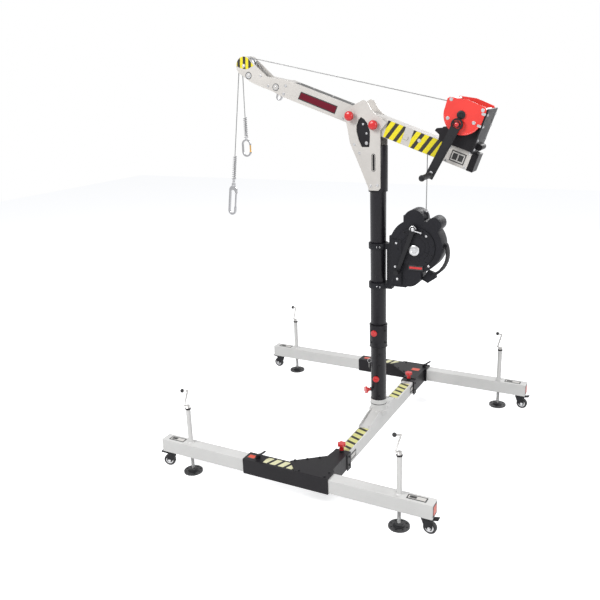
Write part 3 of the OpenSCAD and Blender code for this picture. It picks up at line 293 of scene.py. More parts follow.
class Piece:
    """Collects simple solids into one mesh, with a flat map in metres for striped faces."""

    def __init__(self):
        self.verts, self.faces, self.uv = [], [], []

    def ring_faces(self, rings, n):
        """Joins the last rings of n points into a closed skin with two end faces."""
        base = len(self.verts) - rings * n
        for i in range(rings - 1):
            for j in range(n):
                k = (j + 1) % n
                low, high = base + i * n, base + (i + 1) * n
                self.faces.append((low + j, low + k, high + k, high + j))
        self.faces.append(tuple(base + j for j in reversed(range(n))))
        self.faces.append(tuple(base + (rings - 1) * n + j for j in range(n)))

    def prism(self, outline, origin, u, v, depth, ease=0.0):
        """An outline in the u-v plane, raised along u x v, with eased top edges."""
        u, v = Vector(u).normalized(), Vector(v).normalized()
        w = u.cross(v)
        cx = sum(p[0] for p in outline) / len(outline)
        cy = sum(p[1] for p in outline) / len(outline)
        wide = max(max(abs(p[0] - cx) for p in outline), 1e-6)
        tall = max(max(abs(p[1] - cy) for p in outline), 1e-6)
        rows = [(0, 0), (depth - ease, 0), (depth, ease)] if ease else [(0, 0), (depth, 0)]
        for lift, inset in rows:
            kx, ky = 1 - inset / wide, 1 - inset / tall
            for a, b in outline:
                a2, b2 = cx + (a - cx) * kx, cy + (b - cy) * ky
                self.verts.append(Vector(origin) + u * a2 + v * b2 + w * lift)
                self.uv.append((a2, b2))
        self.ring_faces(len(rows), len(outline))
        return self

    def slab(self, w, h, origin, u, v, depth, r, ease):
        """Rounded rectangle centred on the origin."""
        r = min(r, w / 2 - 1e-5, h / 2 - 1e-5)
        cw, ch = w / 2 - r, h / 2 - r
        pts = []
        for cx, cy, a0 in ((cw, ch, 0), (-cw, ch, 90), (-cw, -ch, 180), (cw, -ch, 270)):
            for k in range(5):
                a = math.radians(a0 + 22.5 * k)
                pts.append((cx + r * math.cos(a), cy + r * math.sin(a)))
        return self.prism(pts, origin, u, v, depth, ease)

    def lathe(self, profile, origin, axis, n, phase=0.0):
        """Turns (radius, height) pairs about an axis, with n sides from a phase in radians."""
        axis = Vector(axis).normalized()
        side = axis.orthogonal().normalized()
        if abs(axis.z) < 0.99:
            side = axis.cross(Z).normalized()
        other = axis.cross(side)
        for r, z in profile:
            for j in range(n):
                a = math.tau * j / n + phase
                p = Vector(origin) + axis * z + (side * math.cos(a) + other * math.sin(a)) * r
                self.verts.append(p)
                self.uv.append((a * r, z))
        self.ring_faces(len(profile), n)
        return self

    def bolt(self, origin, axis, r, inset=False):
        """A hexagon bolt head on its washer, or a socket head with a hollow."""
        self.lathe([(r * 1.55, -0.0005), (r * 1.55, r * 0.16), (r * 1.45, r * 0.22)], origin, axis, 20)
        z = r * 0.22
        if inset:
            head = [(r, z - 0.0003), (r, z + r * 0.9), (r * 0.9, z + r), (r * 0.5, z + r),
                    (r * 0.46, z + r * 0.45)]
            return self.lathe(head, origin, axis, 20)
        head = [(r * 1.15, z - 0.0003), (r * 1.15, z + r * 0.62), (r, z + r * 0.72)]
        return self.lathe(head, origin, axis, 6, 0.3)

    def tube(self, pts, r, n, ref):
        """Round bar along points; ref is a direction across it, or a list with one for each point."""
        refs = [ref] * len(pts) if isinstance(ref, Vector) else ref
        for i, (p, a, b) in enumerate(across(pts, refs)):
            for j in range(n):
                t = math.tau * j / n
                self.verts.append(p + (a * math.cos(t) + b * math.sin(t)) * r)
                self.uv.append((t * r, i * 0.01))
        self.ring_faces(len(pts), n)
        return self

    def make(self, name, body, material, slot=None, angle=35):
        """The mesh as an object that rides on a body, with edges over an angle kept sharp."""
        me = bpy.data.meshes.new(name)
        me.from_pydata([tuple(v) for v in self.verts], [], self.faces)
        layer = me.uv_layers.new(name="flat")
        for loop in me.loops:
            layer.data[loop.index].uv = self.uv[loop.vertex_index]
        me.shade_smooth()
        me.set_sharp_from_angle(angle=math.radians(angle))
        o = bpy.data.objects.new(name, me)
        bpy.context.collection.objects.link(o)
        me.materials.append(M[material])
        if body:
            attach(o, body)
        return o


def turned(name, profile, origin, axis, n, body, material, slot, angle=30):
    """One turned piece, from its (radius, height) pairs."""
    return Piece().lathe(profile, origin, axis, n).make(name, body, material, slot, angle)


def flat(name, w, h, at, u, v, body, material, t, r=0.003):
    """A thin rounded sheet, such as a tape or a panel."""
    return Piece().slab(w, h, at, u, v, t, r, 0.0003).make(name, body, material)


def framed(name, w, h, at, u, v, body, inner, border):
    """A bare panel in a black border."""
    n = Vector(u).cross(Vector(v)).normalized()
    flat(name + "_border", w, h, at, u, v, body, "frame", 0.0009, 0.004)
    flat(name, w - 2 * border, h - 2 * border, Vector(at) + n * 0.0008, u, v, body, inner, 0.0007, 0.003)


# Ropes: radius, strands, length of lay, and the points of each route
R, STRANDS, LAY = 0.003, 6, 0.042
winch_route = [(x / 1000, -0.018, z / 1000) for x, z in (
    (801, 2107), (814, 2115), (824, 2127), (830, 2141), (831, 2157), (827, 2171), (819, 2185),
    (807, 2194), (793, 2200), (-631, 2521), (-639, 2522), (-648, 2522), (-656, 2521), (-664, 2518),
    (-672, 2514), (-678, 2509), (-684, 2503), (-689, 2496), (-693, 2489), (-695, 2485), (-696, 2477))]
life_route = [(x / 1000, 0.018, z / 1000) for x, z in (
    (554, 1998), (554, 2009), (552, 2020), (546, 2030), (536, 2036), (532, 2038), (-422, 2314),
    (-430, 2319), (-603, 2506), (-611, 2512), (-619, 2517), (-628, 2521), (-637, 2522), (-646, 2522),
    (-655, 2521), (-664, 2518), (-672, 2514), (-680, 2508), (-686, 2501), (-691, 2493), (-694, 2485),
    (-696, 2477), (-697, 2470))]
fall_route = [(-0.696, -0.018, 2.4765), (-0.790, -0.018, 1.751)]
life_fall_route = [(-0.697, 0.018, 2.4695), (-0.697, 0.018, 2.023)]
lower_route = [(0.552, 0.018, 1.592), (0.552, 0.018, 1.604), (0.554, 0.018, 1.986), (0.554, 0.018, 1.9975)]


def laid_rope(name, pts, refs, step, body):
    """Rope with strands: a tube whose section is lobed and turns along the path."""
    path, normals, run = [], [], [0.0]
    for i in range(len(pts) - 1):
        a, b = Vector(pts[i]), Vector(pts[i + 1])
        n = max(1, math.ceil((b - a).length / step))
        for k in range(n):
            path.append(a.lerp(b, k / n))
            normals.append(refs[i].lerp(refs[i + 1], k / n))
    path.append(Vector(pts[-1]))
    normals.append(refs[-1])
    for a, b in zip(path, path[1:]):
        run.append(run[-1] + (b - a).length)
    p = Piece()
    n = STRANDS * 3
    for (c, a, b), done in zip(across(path, normals), run):
        for j in range(n):
            t = math.tau * j / n + math.tau * done / LAY
            lobe = (1.0, 0.93, 0.93)[j % 3]
            p.verts.append(c + (a * math.cos(t) + b * math.sin(t)) * R * lobe)
            p.uv.append((t * R, done))
    p.ring_faces(len(path), n)
    return p.make(name, body, "rope", "rope_steel", angle=60), run[-1]


def held_rope(name, cad, route, body, pulled_by=None):
    """A rope on a body, in place of the CAD rope; one that is pulled rides on no body, with its place baked
    into its mesh.
    """
    o, run = laid_rope(name, route, [Y] * len(route), 0.004, None if pulled_by else body)
    if pulled_by:
        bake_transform(o)
    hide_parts(cad)


held_rope("winch_rope_over_boom", "winch_line", winch_route, "boom")
held_rope("lifeline_in_boom", "life_line", life_route, "boom")
held_rope("lifeline_below_boom", "life_line_lower", lower_route, "mast", pulled_by="boom")

# Outer layer on the drum: radius, loops, pitch and steps of a loop
WIND_R, LOOPS, WIND_PITCH, WIND_STEPS = 0.0415, 12, 0.0068, 48
wind, wind_n = [], []
centre = on_boom(DRUM[0], 0, DRUM[1])
for i in range(WIND_STEPS * LOOPS + 1):
    a = math.tau * i / WIND_STEPS
    d = S * math.cos(a) + H * math.sin(a)
    wind.append(centre + d * WIND_R + Y * (WIND_PITCH * LOOPS * (i / (WIND_STEPS * LOOPS) - 0.5)))
    wind_n.append(d)
wind = [wind[0] - H * 0.006] + wind + [wind[-1] + H * 0.006]
wind_n = [wind_n[0]] + wind_n + [wind_n[-1]]
drum_layer, _ = laid_rope("rope_on_drum", wind, wind_n, 0.0055, "drum")
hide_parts("drum_rope")

# Ends of the two falls, and the directions along and across the leaning one
HOOK, CLIP = Vector(fall_route[1]), Vector(life_fall_route[1])
LEAN = math.atan2(94, 725.5)
DOWN = Vector((-math.sin(LEAN), 0, -math.cos(LEAN)))
OUT = Vector((math.cos(LEAN), 0, -math.sin(LEAN)))

# Bumper springs: radius, wire, pitch, start of the first curl, straight ends and steps of a curl
SPRING_R, SPRING_WIRE, SPRING_PITCH, SPRING_LEAD, SPRING_END = 0.011, 0.0024, 0.013, 0.0048, 0.0046
SPRING_STEPS = 24


def spring(name, cad, base, axis, side, curls, body):
    """Round-wire bumper spring on the end of a rope."""
    axis, side = Vector(axis), Vector(side)
    other = axis.cross(side)
    pts, refs = [], []
    for i in range(SPRING_STEPS * curls + 1):
        a = math.tau * i / SPRING_STEPS
        refs.append(side * math.cos(a) + other * math.sin(a))
        pts.append(base + axis * (SPRING_LEAD + SPRING_PITCH * i / SPRING_STEPS) + refs[-1] * SPRING_R)
    pts = [pts[0] - axis * SPRING_END] + pts + [pts[-1] + axis * SPRING_END]
    refs = [refs[0]] + refs + [refs[-1]]
    o = Piece().tube(pts, SPRING_WIRE, 12, refs).make(name, body, "spring", "bright_steel", angle=70)
    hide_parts(cad)


spring("hook_bumper_spring", "hook_bumper", HOOK, -DOWN, OUT, 11, "hook")
spring("lifeline_bumper_spring", "life_bumper", CLIP, Z, X, 9, "carabiner")
held_rope("hook_fall_rope", "winch_fall", fall_route, "falls", pulled_by="hook")
held_rope("lifeline_fall_rope", "life_fall", life_fall_route, "falls", pulled_by="carabiner")

# Finish of the CAD pieces
DRESS = {
    "boom": ["boom_beam", "head_plate_near", "head_plate_far"],
    "leg": ["leg_" + k for k in CORNERS] + ["centre_beam", "mast_socket"],
    "black": ["front_sleeve", "back_sleeve", "winch_frame", "boom_end_cap"],
    "mast": ["lower_mast", "upper_mast"],
    "housing": ["arrester_body"],
    "cast": ["front_latch", "back_latch", "arrester_crank", "winch_crank"]
            + ["castor_fork_" + k for k in CORNERS],
    "red": ["winch_plates"],
    "knob": ["front_beam_plunger", "back_beam_plunger", "mast_plunger", "boom_lock_pin", "boom_pivot_pin"],
    "zinc": ["winch_drum", "winch_sheave", "life_sheave", "rear_pulley"],
    "chrome": ["anchor_eye", "snap_hook", "hook_gate", "carabiner"],
    "gold": ["carabiner_gate"],
    "crank": ["jack_crank_" + k for k in CORNERS],
    "screw": ["jack_foot_" + k for k in CORNERS],
    "tyre": ["castor_wheel_" + k for k in CORNERS],
    "grip": ["crank_grip"],
}
# Width of the eased edges
EASE = {"boom": 0.0012, "leg": 0.0025, "black": 0.002, "mast": 0.0008, "housing": 0.004, "cast": 0.001,
        "red": 0.0008, "knob": 0.0015, "chrome": 0.0015, "gold": 0.0008, "crank": 0.0006}
for key, names in DRESS.items():
    for name in names:
        o = nodes[name]
        o.data.materials.clear()
        o.data.materials.append(M[key])
        if key in EASE:
            w = o.modifiers.new("weld", "WELD")
            w.merge_threshold = 0.00001
            b = o.modifiers.new("edges", "BEVEL")
            b.width, b.segments, b.limit_method, b.angle_limit = EASE[key], 2, "ANGLE", math.radians(40)
            b.harden_normals = False

# Base: side and reach of each leg from the mast, and the side of its row
REACH = {"fl": (-1, 1.12, -1), "fr": (1, 0.67, -1), "bl": (-1, 1.30, 1), "br": (1, 0.80, 1)}
# How far in from a leg's end its label, its jack and its castor's swivel lie
LABEL_IN, JACK_IN, CASTOR_IN = 0.098, 0.2, 0.048
# The castor's axle behind its swivel and over the floor, and the turn of each fork at rest
TRAIL, AXLE_Z = 0.024, 0.049
FORK_TURN = {"fl": 20, "fr": 180, "bl": 0, "br": 180}
BALL_R = 0.0124
# Bolts of the corner plate: x from the mast and y in from the leg
GUSSET_BOLTS = ((-0.205, 0.062), (-0.145, 0.105), (-0.085, 0.150), (0.040, 0.020), (-0.130, -0.030),
                (0.035, -0.030))


def leg_point(k, inward, z):
    """A point on a leg's middle plane: metres in from its outer end, and up."""
    side, reach, row = REACH[k]
    return Vector((MAST + side * (reach - inward), row * LEG_Y, z))


def leg_panels(k):
    """Orange end panel in a black frame, and a bare label on top between the end and the jack."""
    leg, side = "leg_" + k, REACH[k][0]
    framed("end_panel_" + k, 0.066, 0.070, leg_point(k, 0, LEG_MID), Y * side, Z, leg, "orange", 0.009)
    framed("leg_label_" + k, 0.112, 0.044, leg_point(k, LABEL_IN, LEG_TOP), X, Y, leg, "plate", 0.007)
    box_at = leg_point(k, LABEL_IN, LEG_TOP + 0.0014) - X * 0.022
    flat("leg_label_box_" + k, 0.040, 0.022, box_at, X, Y, leg, "frame", 0.0006)


def jack_details(k):
    """Weld collar on the leg, black cap on the tube, black ball on the crank and rubber ring on the pad."""
    leg, crank, jack = "leg_" + k, "jack_crank_" + k, leg_point(k, JACK_IN, 0)
    collar = [(0.0155, 0.2052), (0.0215, 0.2052), (0.0205, 0.208), (0.0178, 0.2105), (0.0155, 0.212)]
    turned("jack_collar_" + k, collar, jack, Z, 32, leg, "leg", "pale_aluminium")
    cap = [(0.0153, 0.436), (0.0178, 0.436), (0.0178, 0.443), (0.0168, 0.4448), (0.0153, 0.4448)]
    turned("jack_cap_" + k, cap, jack, Z, 32, leg, "black", "black_steel")
    points = [v.co for v in nodes[crank].data.vertices]
    top = max(v.z for v in points)
    crest = [v for v in points if v.z > top - 0.0004]
    ball = Vector((sum(v.x for v in crest) / len(crest), sum(v.y for v in crest) / len(crest), top - 0.012))
    arc = [math.radians(a) for a in range(3, 178, 12)]
    sphere = [(BALL_R * math.sin(a), -BALL_R * math.cos(a)) for a in arc] + [(0.0005, BALL_R)]
    turned("jack_ball_" + k, sphere, ball, Z, 28, crank, "pad", "black_plastic", 60)
    ring = [(0.0245, 0.0095), (0.034, 0.0095), (0.034, 0.0125), (0.030, 0.0155), (0.0245, 0.0165)]
    turned("pad_ring_" + k, ring, jack, Z, 40, "jack_foot_" + k, "cast", "rubber")


def castor_details(k):
    """Axle nuts and plate bolts on the fork, and rings on the wheel's hub."""
    turn = math.radians(FORK_TURN[k])
    swivel = leg_point(k, CASTOR_IN, 0)
    forward = Vector((math.cos(turn), math.sin(turn), 0))
    axle = Vector((-math.sin(turn), math.cos(turn), 0))
    hub = swivel - forward * TRAIL + Z * AXLE_Z
    p = Piece()
    for s in (-1, 1):
        p.bolt(hub + axle * s * 0.0198, axle * s, 0.0062)
    for a in range(4):
        b = math.tau * (a + 0.5) / 4
        p.bolt(swivel + Vector((0.024 * math.cos(b), 0.024 * math.sin(b), 0.1149)), -Z, 0.0034)
    p.make("castor_bolts_" + k, "castor_fork_" + k, "zinc", "bare_steel", 30)
    ring = [(0.0062, 0.0121), (0.022, 0.0121), (0.0235, 0.0128), (0.0235, 0.0131), (0.021, 0.0134),
            (0.0062, 0.0134)]
    p = Piece()
    for s in (-1, 1):
        p.lathe(ring, hub, axle * s, 32)
    p.make("castor_hub_" + k, "castor_wheel_" + k, "zinc", "bare_steel", 30)


def sleeve_details(tag, row, x0, x1, panel_x):
    """Anti-slip tape and bare panel on top, bolts, and wear strips at the mouths."""
    on_top = Vector((MAST, row * LEG_Y, SLEEVE_TOP))
    flat("sleeve_tape_" + tag, x1 - x0, 0.062, on_top + X * (x0 + x1) / 2, X, Y, "root", "pads", 0.0009)
    framed("sleeve_panel_" + tag, 0.058, 0.046, on_top + X * panel_x, X, Y, "root", "orange", 0.007)
    # Only the back sleeve has a panel on its corner plate
    if tag == "back":
        corner = (MAST - 0.012, row * (LEG_Y - 0.085), GUSSET_TOP)
        framed("corner_panel", 0.070, 0.056, corner, X, Y, "root", "orange", 0.006)
    p = Piece()
    for x, y in GUSSET_BOLTS:
        p.bolt((MAST + x, row * (LEG_Y - y), GUSSET_TOP), Z, SCREW_R)
    for side in (-1, 1):
        for z in (0.135, 0.19):
            p.bolt((MAST + side * 0.0505, row * (LEG_Y - 0.275), z), X * side, SCREW_R)
    p.make("sleeve_bolts_" + tag, "root", "cast", "black_steel", 30)
    strip = [(-0.0015, -0.046), (0.0015, -0.046), (0.0015, 0.046), (-0.0015, 0.046)]
    p = Piece()
    for side, x in ((-1, -0.505), (1, 0.060)):
        for y in (0.043065, -0.043065):
            p.prism(strip, (MAST + x, row * LEG_Y + y, LEG_MID), Y * side, Z, 0.0012)
    p.make("sleeve_lips_" + tag, "root", "frame", "black_plastic", 30)


for k in CORNERS:
    leg_panels(k)
    jack_details(k)
    castor_details(k)
sleeve_details("front", -1, -0.372, -0.150, -0.465)
sleeve_details("back", 1, -0.294, -0.170, -0.452)

# Tape, bare panels and bolts on the centre beam
flat("beam_tape_front", 0.310, 0.064, (MAST, -0.405, LEG_TOP), -Y, X, "root", "steps", 0.0009)
flat("beam_tape_back", 0.313, 0.064, (MAST, 0.3675, LEG_TOP), -Y, X, "root", "steps", 0.0009)
for side, side_tag in ((-1, "l"), (1, "r")):
    for y, row_tag in ((-0.515, "f"), (0.555, "b")):
        name = "beam_label_%s_%s" % (side_tag, row_tag)
        at = (MAST + side * 0.04, y, 0.160)
        framed(name, 0.085, 0.046, at, Y * side, Z, "root", "plate", 0.011)
p = Piece()
for y in (-0.235, -0.150, 0.150, 0.235):
    for x in (-0.025, 0.025):
        p.bolt((MAST + x, y, 0.2132), Z, 0.005)
p.make("socket_bolts", "root", "zinc", "bare_steel", 30)


# Mast and head
def mast_skin(angle, z):
    """A point and the outward direction on the mast, at an angle from +X."""
    d = Vector((math.cos(math.radians(angle)), math.sin(math.radians(angle)), 0))
    return Vector((MAST, 0, z)) + d * MAST_R, d


# Two red caps, the upper one on the joint collar, which stands 8 mm off the tube
CAP = ((1, -0.006), (1, 0.006), (0.86, 0.010), (0.4, 0.0115), (0.12, 0.0112))
p = Piece()
for angle, z, out in ((-88, 0.470, 0), (-98, 0.790, 0.008)):
    at, d = mast_skin(angle, z)
    p.lathe([(0.021 * k, h + out) for k, h in CAP], at, d, 32)
p.make("mast_caps", "mast", "knob", "red_plastic", 40)
p = Piece()
for z in (0.345, 0.560, 0.640):
    for angle in (-60, 120):
        at, d = mast_skin(angle, z)
        p.bolt(at - d * 0.001, d, 0.006, inset=True)
for z in (0.725, 0.805):
    for angle in (-20, 60, 160, 240):
        at, d = mast_skin(angle, z)
        p.bolt(at + d * 0.0075, d, 0.005, inset=True)
p.make("mast_screws", "mast", "cast", "black_steel", 30)
foot = Vector((MAST, 0, 0))
p = Piece()
for z in (0.6895, 0.8375):
    p.lathe([(0.0575, z), (0.0592, z + 0.001), (0.0592, z + 0.0035), (0.0575, z + 0.0045)], foot, Z, 64)
p.make("mast_bands", "mast", "black", "black_steel", 30)
# Pale neck round the foot of the mast, with a dark seam
neck = [(0.0507, 0.2625), (0.0548, 0.2625), (0.0548, 0.317), (0.0538, 0.3185), (0.0507, 0.3185),
        (0.0507, 0.2625)]
turned("socket_neck", neck, foot, Z, 64, "root", "leg", "pale_aluminium")
seam = [(0.0547, 0.286), (0.0556, 0.286), (0.0556, 0.290), (0.0547, 0.290)]
turned("socket_seam", seam, foot, Z, 64, "root", "frame", "black_plastic")
# Lanyard ring and its small tag by the foot of the mast
ring_at, d = mast_skin(205, 0.585)
turns = [math.tau * i / 28 for i in range(29)]
pts = [ring_at + d * 0.010 + Z * (0.014 * math.cos(a)) + d * (0.012 * math.sin(a)) for a in turns]
Piece().tube(pts, 0.0014, 8, Z.cross(d)).make("tag_ring", "mast", "zinc", "bare_steel", 70)
flat("tag", 0.024, 0.034, ring_at + d * 0.0125 - Z * 0.032, Z.cross(d), Z, "mast", "plate", 0.0012, 0.004)

# Outline of the head's window, from the mast's axis
WINDOW = ((-88, 1963), (-25, 1963), (-21, 2000), (-19, 2062), (-38, 2114), (-58, 2138), (-84, 2153),
          (-106, 2133), (-121, 2098), (-121, 2058), (-107, 2007))
# Slot below the window: x of its middle, half its width, and z of its two round ends
SLOT_X, SLOT_R, SLOT_ENDS = -5, 11, ((1920, 0), (1838, math.pi))


def head_side(s, tag):
    """Bolts, window liner with its screws and slot rim on one head plate."""
    face, axis = s * HEAD_FACE, Y * s
    p = Piece()
    for x, z in ((-24, 1740), (20, 1745), (-96, 1935), (-128, 1985)):
        p.bolt(mm(x, face, z), axis, SCREW_R, inset=(z < 1800))
    p.make("head_bolts_" + tag, "mast", "zinc", "bare_steel", 30)
    shape = WINDOW if s < 0 else [(-x, z) for x, z in WINDOW][::-1]
    outline = [(x / 1000, (z - 2050) / 1000) for x, z in shape]
    p = Piece().prism(outline, mm(0, s * 52.4, 2050), X * -s, Z, 0.0015)
    p.make("head_liner_" + tag, "mast", "black", "black_steel")
    p = Piece()
    for x, z, r in ((-74, 2104, 4), (-52, 2050, 4), (-53, 1993, 6.5)):
        p.bolt(mm(x, s * 53.9, z), axis, r / 1000, inset=True)
    p.make("liner_screws_" + tag, "mast", "zinc", "bare_steel", 30)
    pts = []
    for z, start in SLOT_ENDS:
        for i in range(25):
            a = start + math.pi * i / 24
            pts.append(mm(SLOT_X + SLOT_R * math.cos(a), face, z + SLOT_R * math.sin(a)))
    pts.append(pts[0])
    Piece().tube(pts, 0.0015, 6, Y).make("head_slot_rim_" + tag, "mast", "frame", "black_plastic", 50)


for s, tag in SIDES.items():
    head_side(s, tag)
# Washer on the pivot and bush round the lock pin, under the near knobs
washer = [(0.013, 0.0622), (0.022, 0.0622), (0.022, 0.0644), (0.013, 0.0646)]
turned("pivot_washer", washer, on_boom(0, 0, 0), -Y, 32, "mast", "zinc", "bare_steel")
bush = [(0.0095, 0.062), (0.018, 0.062), (0.018, 0.0645), (0.0165, 0.0655), (0.0095, 0.0655)]
turned("lock_bush", bush, on_boom(LOCK_S, 0, 0), -Y, 32, "mast", "zinc", "bare_steel")
# Round red caps over the knobs of the pivot and of the lock pin
KNOB = ((0.025, -0.0185), (0.0285, -0.014), (0.0285, -0.006), (0.026, 0), (0.019, 0.0045), (0.010, 0.0065),
        (0.002, 0.007))
for s0, depth, body in ((0, 0.0905, "mast"), (LOCK_S, 0.102, "boom_lock_pin")):
    cap = [(r, depth + h) for r, h in KNOB]
    turned("knob_cap_%d" % abs(s0), cap, on_boom(s0, 0, 0), -Y, 36, body, "knob", "red_plastic", 50)

# Boom: bolts on its sides, each with its place, radius and whether it has a socket,
# and pins, each with its place, height and radius
BOOM_BOLTS = ((-640, 20, 6, False), (-640, -30, 6, False), (-760, -20, 5, True), (-830, 20, 5, True),
              (205, -6, 5, False), (475, 40, 5, True), (475, -40, 5, True), (592, 44, 5, True),
              (592, -40, 5, True), (-210, -38, 5, True))
RIMMED_PINS = ((-705, -10, 3, 10), (-915, -5, 5, 9.5))
BOOM_PINS = ((*NOSE, 6, 6), *RIMMED_PINS, (289, 8, 3, 6))


def rect(a0, b0, a1, b1):
    """A rectangle's outline from two of its corners."""
    return [(a0, b0), (a1, b0), (a1, b1), (a0, b1)]


def boom_sheet(s, name, points, material, t=0.0008, lift=0.0):
    """A thin sheet on one side of the boom, from its outline in the boom's frame."""
    s0 = points[0][0]
    outline = [((a - s0) / 1000 * -s, b / 1000) for a, b in (points if s < 0 else reversed(points))]
    origin = on_boom(s0, s * BOOM_HALF, 0) + Y * s * lift
    Piece().prism(outline, origin, S * -s, H, t, 0.0002).make(name + "_" + SIDES[s], "boom", material)


def boom_side(s, tag):
    """Tapes, bare panels, bolts, pins and a small cover on one side of the boom."""
    boom_sheet(s, "boom_tape_a", rect(72, -48, 186, 52), "tape")
    boom_sheet(s, "boom_tape_b", rect(239, -48, 448, 52), "tape")
    boom_sheet(s, "nose_panel", [(-535, -27), (-268, -30), (-264, 21), (-527, 22)], "frame", 0.0009)
    face = [(-529, -21), (-272, -24), (-269, 15), (-522, 16)]
    boom_sheet(s, "nose_panel_face", face, "maroon", 0.0007, 0.0008)
    boom_sheet(s, "rear_label", rect(492, -32, 580, 30), "frame", 0.0009)
    boom_sheet(s, "rear_label_face", rect(498, -26, 574, 24), "plate", 0.0007, 0.0008)
    for part, a in (("a", 504), ("b", 540)):
        boom_sheet(s, "rear_label_box_" + part, rect(a, -19, a + 28, 17), "frame", 0.0005, 0.0015)
    # Hazard patch on the drop nose
    turns = [math.radians(a) for a in range(48, 201, 8)]
    arc = [(NOSE[0] + 55 * math.cos(a), NOSE[1] + 55 * math.sin(a)) for a in turns]
    boom_sheet(s, "nose_tape", [(-895, 64), *arc, (-985, 20), (-940, 26)], "nose")
    y, axis = s * BOOM_HALF, Y * s
    p = Piece()
    for a, b, r, socket in BOOM_BOLTS:
        p.bolt(on_boom(a, y, b), axis, r / 1000, inset=socket)
    for a, b, proud, r in BOOM_PINS:
        at, end = on_boom(a, y, b), proud / 1000
        tip = [(r * 0.00045, end - 0.0005), (r * 0.00045, end + 0.0015), (r * 0.0002, end + 0.002)]
        p.lathe([(r * 0.0019, 0.0), (r * 0.0019, 0.0016), (r * 0.00185, 0.002)], at, axis, 32)
        p.lathe(tip, at, axis, 24)
    p.make("boom_bolts_" + tag, "boom", "zinc", "bare_steel", 30)
    p = Piece()
    for a, b, _, _ in RIMMED_PINS:
        p.lathe([(0.0225, 0.0), (0.0225, 0.0010), (0.0220, 0.0013)], on_boom(a, y, b), axis, 36)
    p.make("boom_bolt_rims_" + tag, "boom", "frame", "black_plastic", 30)
    # Small cover in the gap of the tape
    p = Piece().slab(0.030, 0.022, on_boom(205, y, -6) + axis * 0.0008, S * -s, H, 0.004, 0.004, 0.001)
    p.make("boom_cover_" + tag, "boom", "boom", "pale_aluminium")


for s, tag in SIDES.items():
    boom_side(s, tag)
# Rubber strip along the boom's top
p = Piece().slab(0.422, 0.060, on_boom(-379, 0, 55), S, Y, 0.0012, 0.004, 0.0004)
p.make("boom_top_strip", "boom", "frame", "rubber")
p = Piece()
for a in (-575, -470, -330, -200):
    p.bolt(on_boom(a, 0, 56.2), H, 0.004, inset=True)
p.make("boom_top_screws", "boom", "zinc", "bare_steel", 30)


# Winch
def winch_side(s, tag):
    """Hub cover, bolts with two oblong pads, and rolled edge on one winch plate."""
    y, axis = s * WINCH_FACE, Y * s
    cover = [(0.0225, 0.0065), (0.024, 0.0062), (0.024, 0.0075), (0.020, 0.0095), (0.012, 0.010),
             (0.010, 0.008), (0.003, 0.008)]
    hub = on_boom(DRUM[0], y, DRUM[1])
    turned("drum_hub_cover_" + tag, cover, hub, axis, 40, "drum", "cast", "black_steel", 35)
    p = Piece()
    for a, b in WINCH_BOLTS:
        p.bolt(on_boom(a, y, b), axis, 0.0065)
    for b in (208, 274):
        p.slab(0.024, 0.015, on_boom(596, y, b), S * -s, H, 0.004, 0.006, 0.001)
    p.make("winch_bolts_" + tag, "boom", "zinc", "bare_steel", 30)
    # Rolled edge along the plate's rounded side
    pts = []
    for i in range(41):
        a = math.radians(182 + i * 4.4)
        pts.append(on_boom(492 + 109 * math.cos(a), y - s * 2, 237 + 109 * math.sin(a)))
    Piece().tube(pts, 0.0042, 10, Y).make("plate_edge_" + tag, "boom", "red", "red_steel", 60)


for s, tag in SIDES.items():
    winch_side(s, tag)
p = Piece()
for a, b in WINCH_BOLTS:
    p.lathe([(0.008, -0.0975), (0.008, 0.0975)], on_boom(a, 0, b), Y, 20)
p.make("winch_standoffs", "boom", "zinc", "bare_steel", 30)
# Red friction disc on the crank shaft, with a red centre
shaft = on_boom(PINION[0], 0, PINION[1])
disc = [(0.027, 0.1032), (0.027, 0.110), (0.024, 0.1125), (0.0112, 0.1125)]
turned("ratchet_disc", disc, shaft, -Y, 40, "winch_crank", "red", "red_steel", 35)
centre_cap = [(0.012, 0.1255), (0.012, 0.130), (0.0095, 0.1325), (0.004, 0.133)]
turned("crank_centre", centre_cap, shaft, -Y, 32, "winch_crank", "knob", "red_plastic", 40)
# The arm hangs down with a lean towards the nose; a rib runs along it, with a bolt at its end
lean = math.radians(8)
crank_dir = (H * -math.cos(lean) - S * math.sin(lean)).normalized()
crank_at = on_boom(PINION[0], -125, PINION[1])
rib = [(-0.018, 0), (0.018, 0), (0.016, 0.20), (-0.016, 0.20)]
p = Piece().prism(rib, crank_at + crank_dir * 0.07, Y.cross(crank_dir), crank_dir, 0.0018, 0.0006)
p.make("crank_rib", "winch_crank", "cast", "black_steel", 30)
p = Piece().bolt(crank_at + crank_dir * 0.304, -Y, 0.007)
p.make("crank_arm_bolt", "winch_crank", "zinc", "bare_steel", 30)
# Frame bolts on the boom's top plate and on the back plate
p = Piece()
for a in (408, 508, 596):
    for y in (-54, 54):
        p.bolt(on_boom(a, y, 63), H, 0.005)
for y in (-86, 86):
    for b in (78, 130, 208, 274):
        p.bolt(on_boom(614, y, b), S, 0.006)
p.make("winch_frame_bolts", "boom", "zinc", "bare_steel", 30)

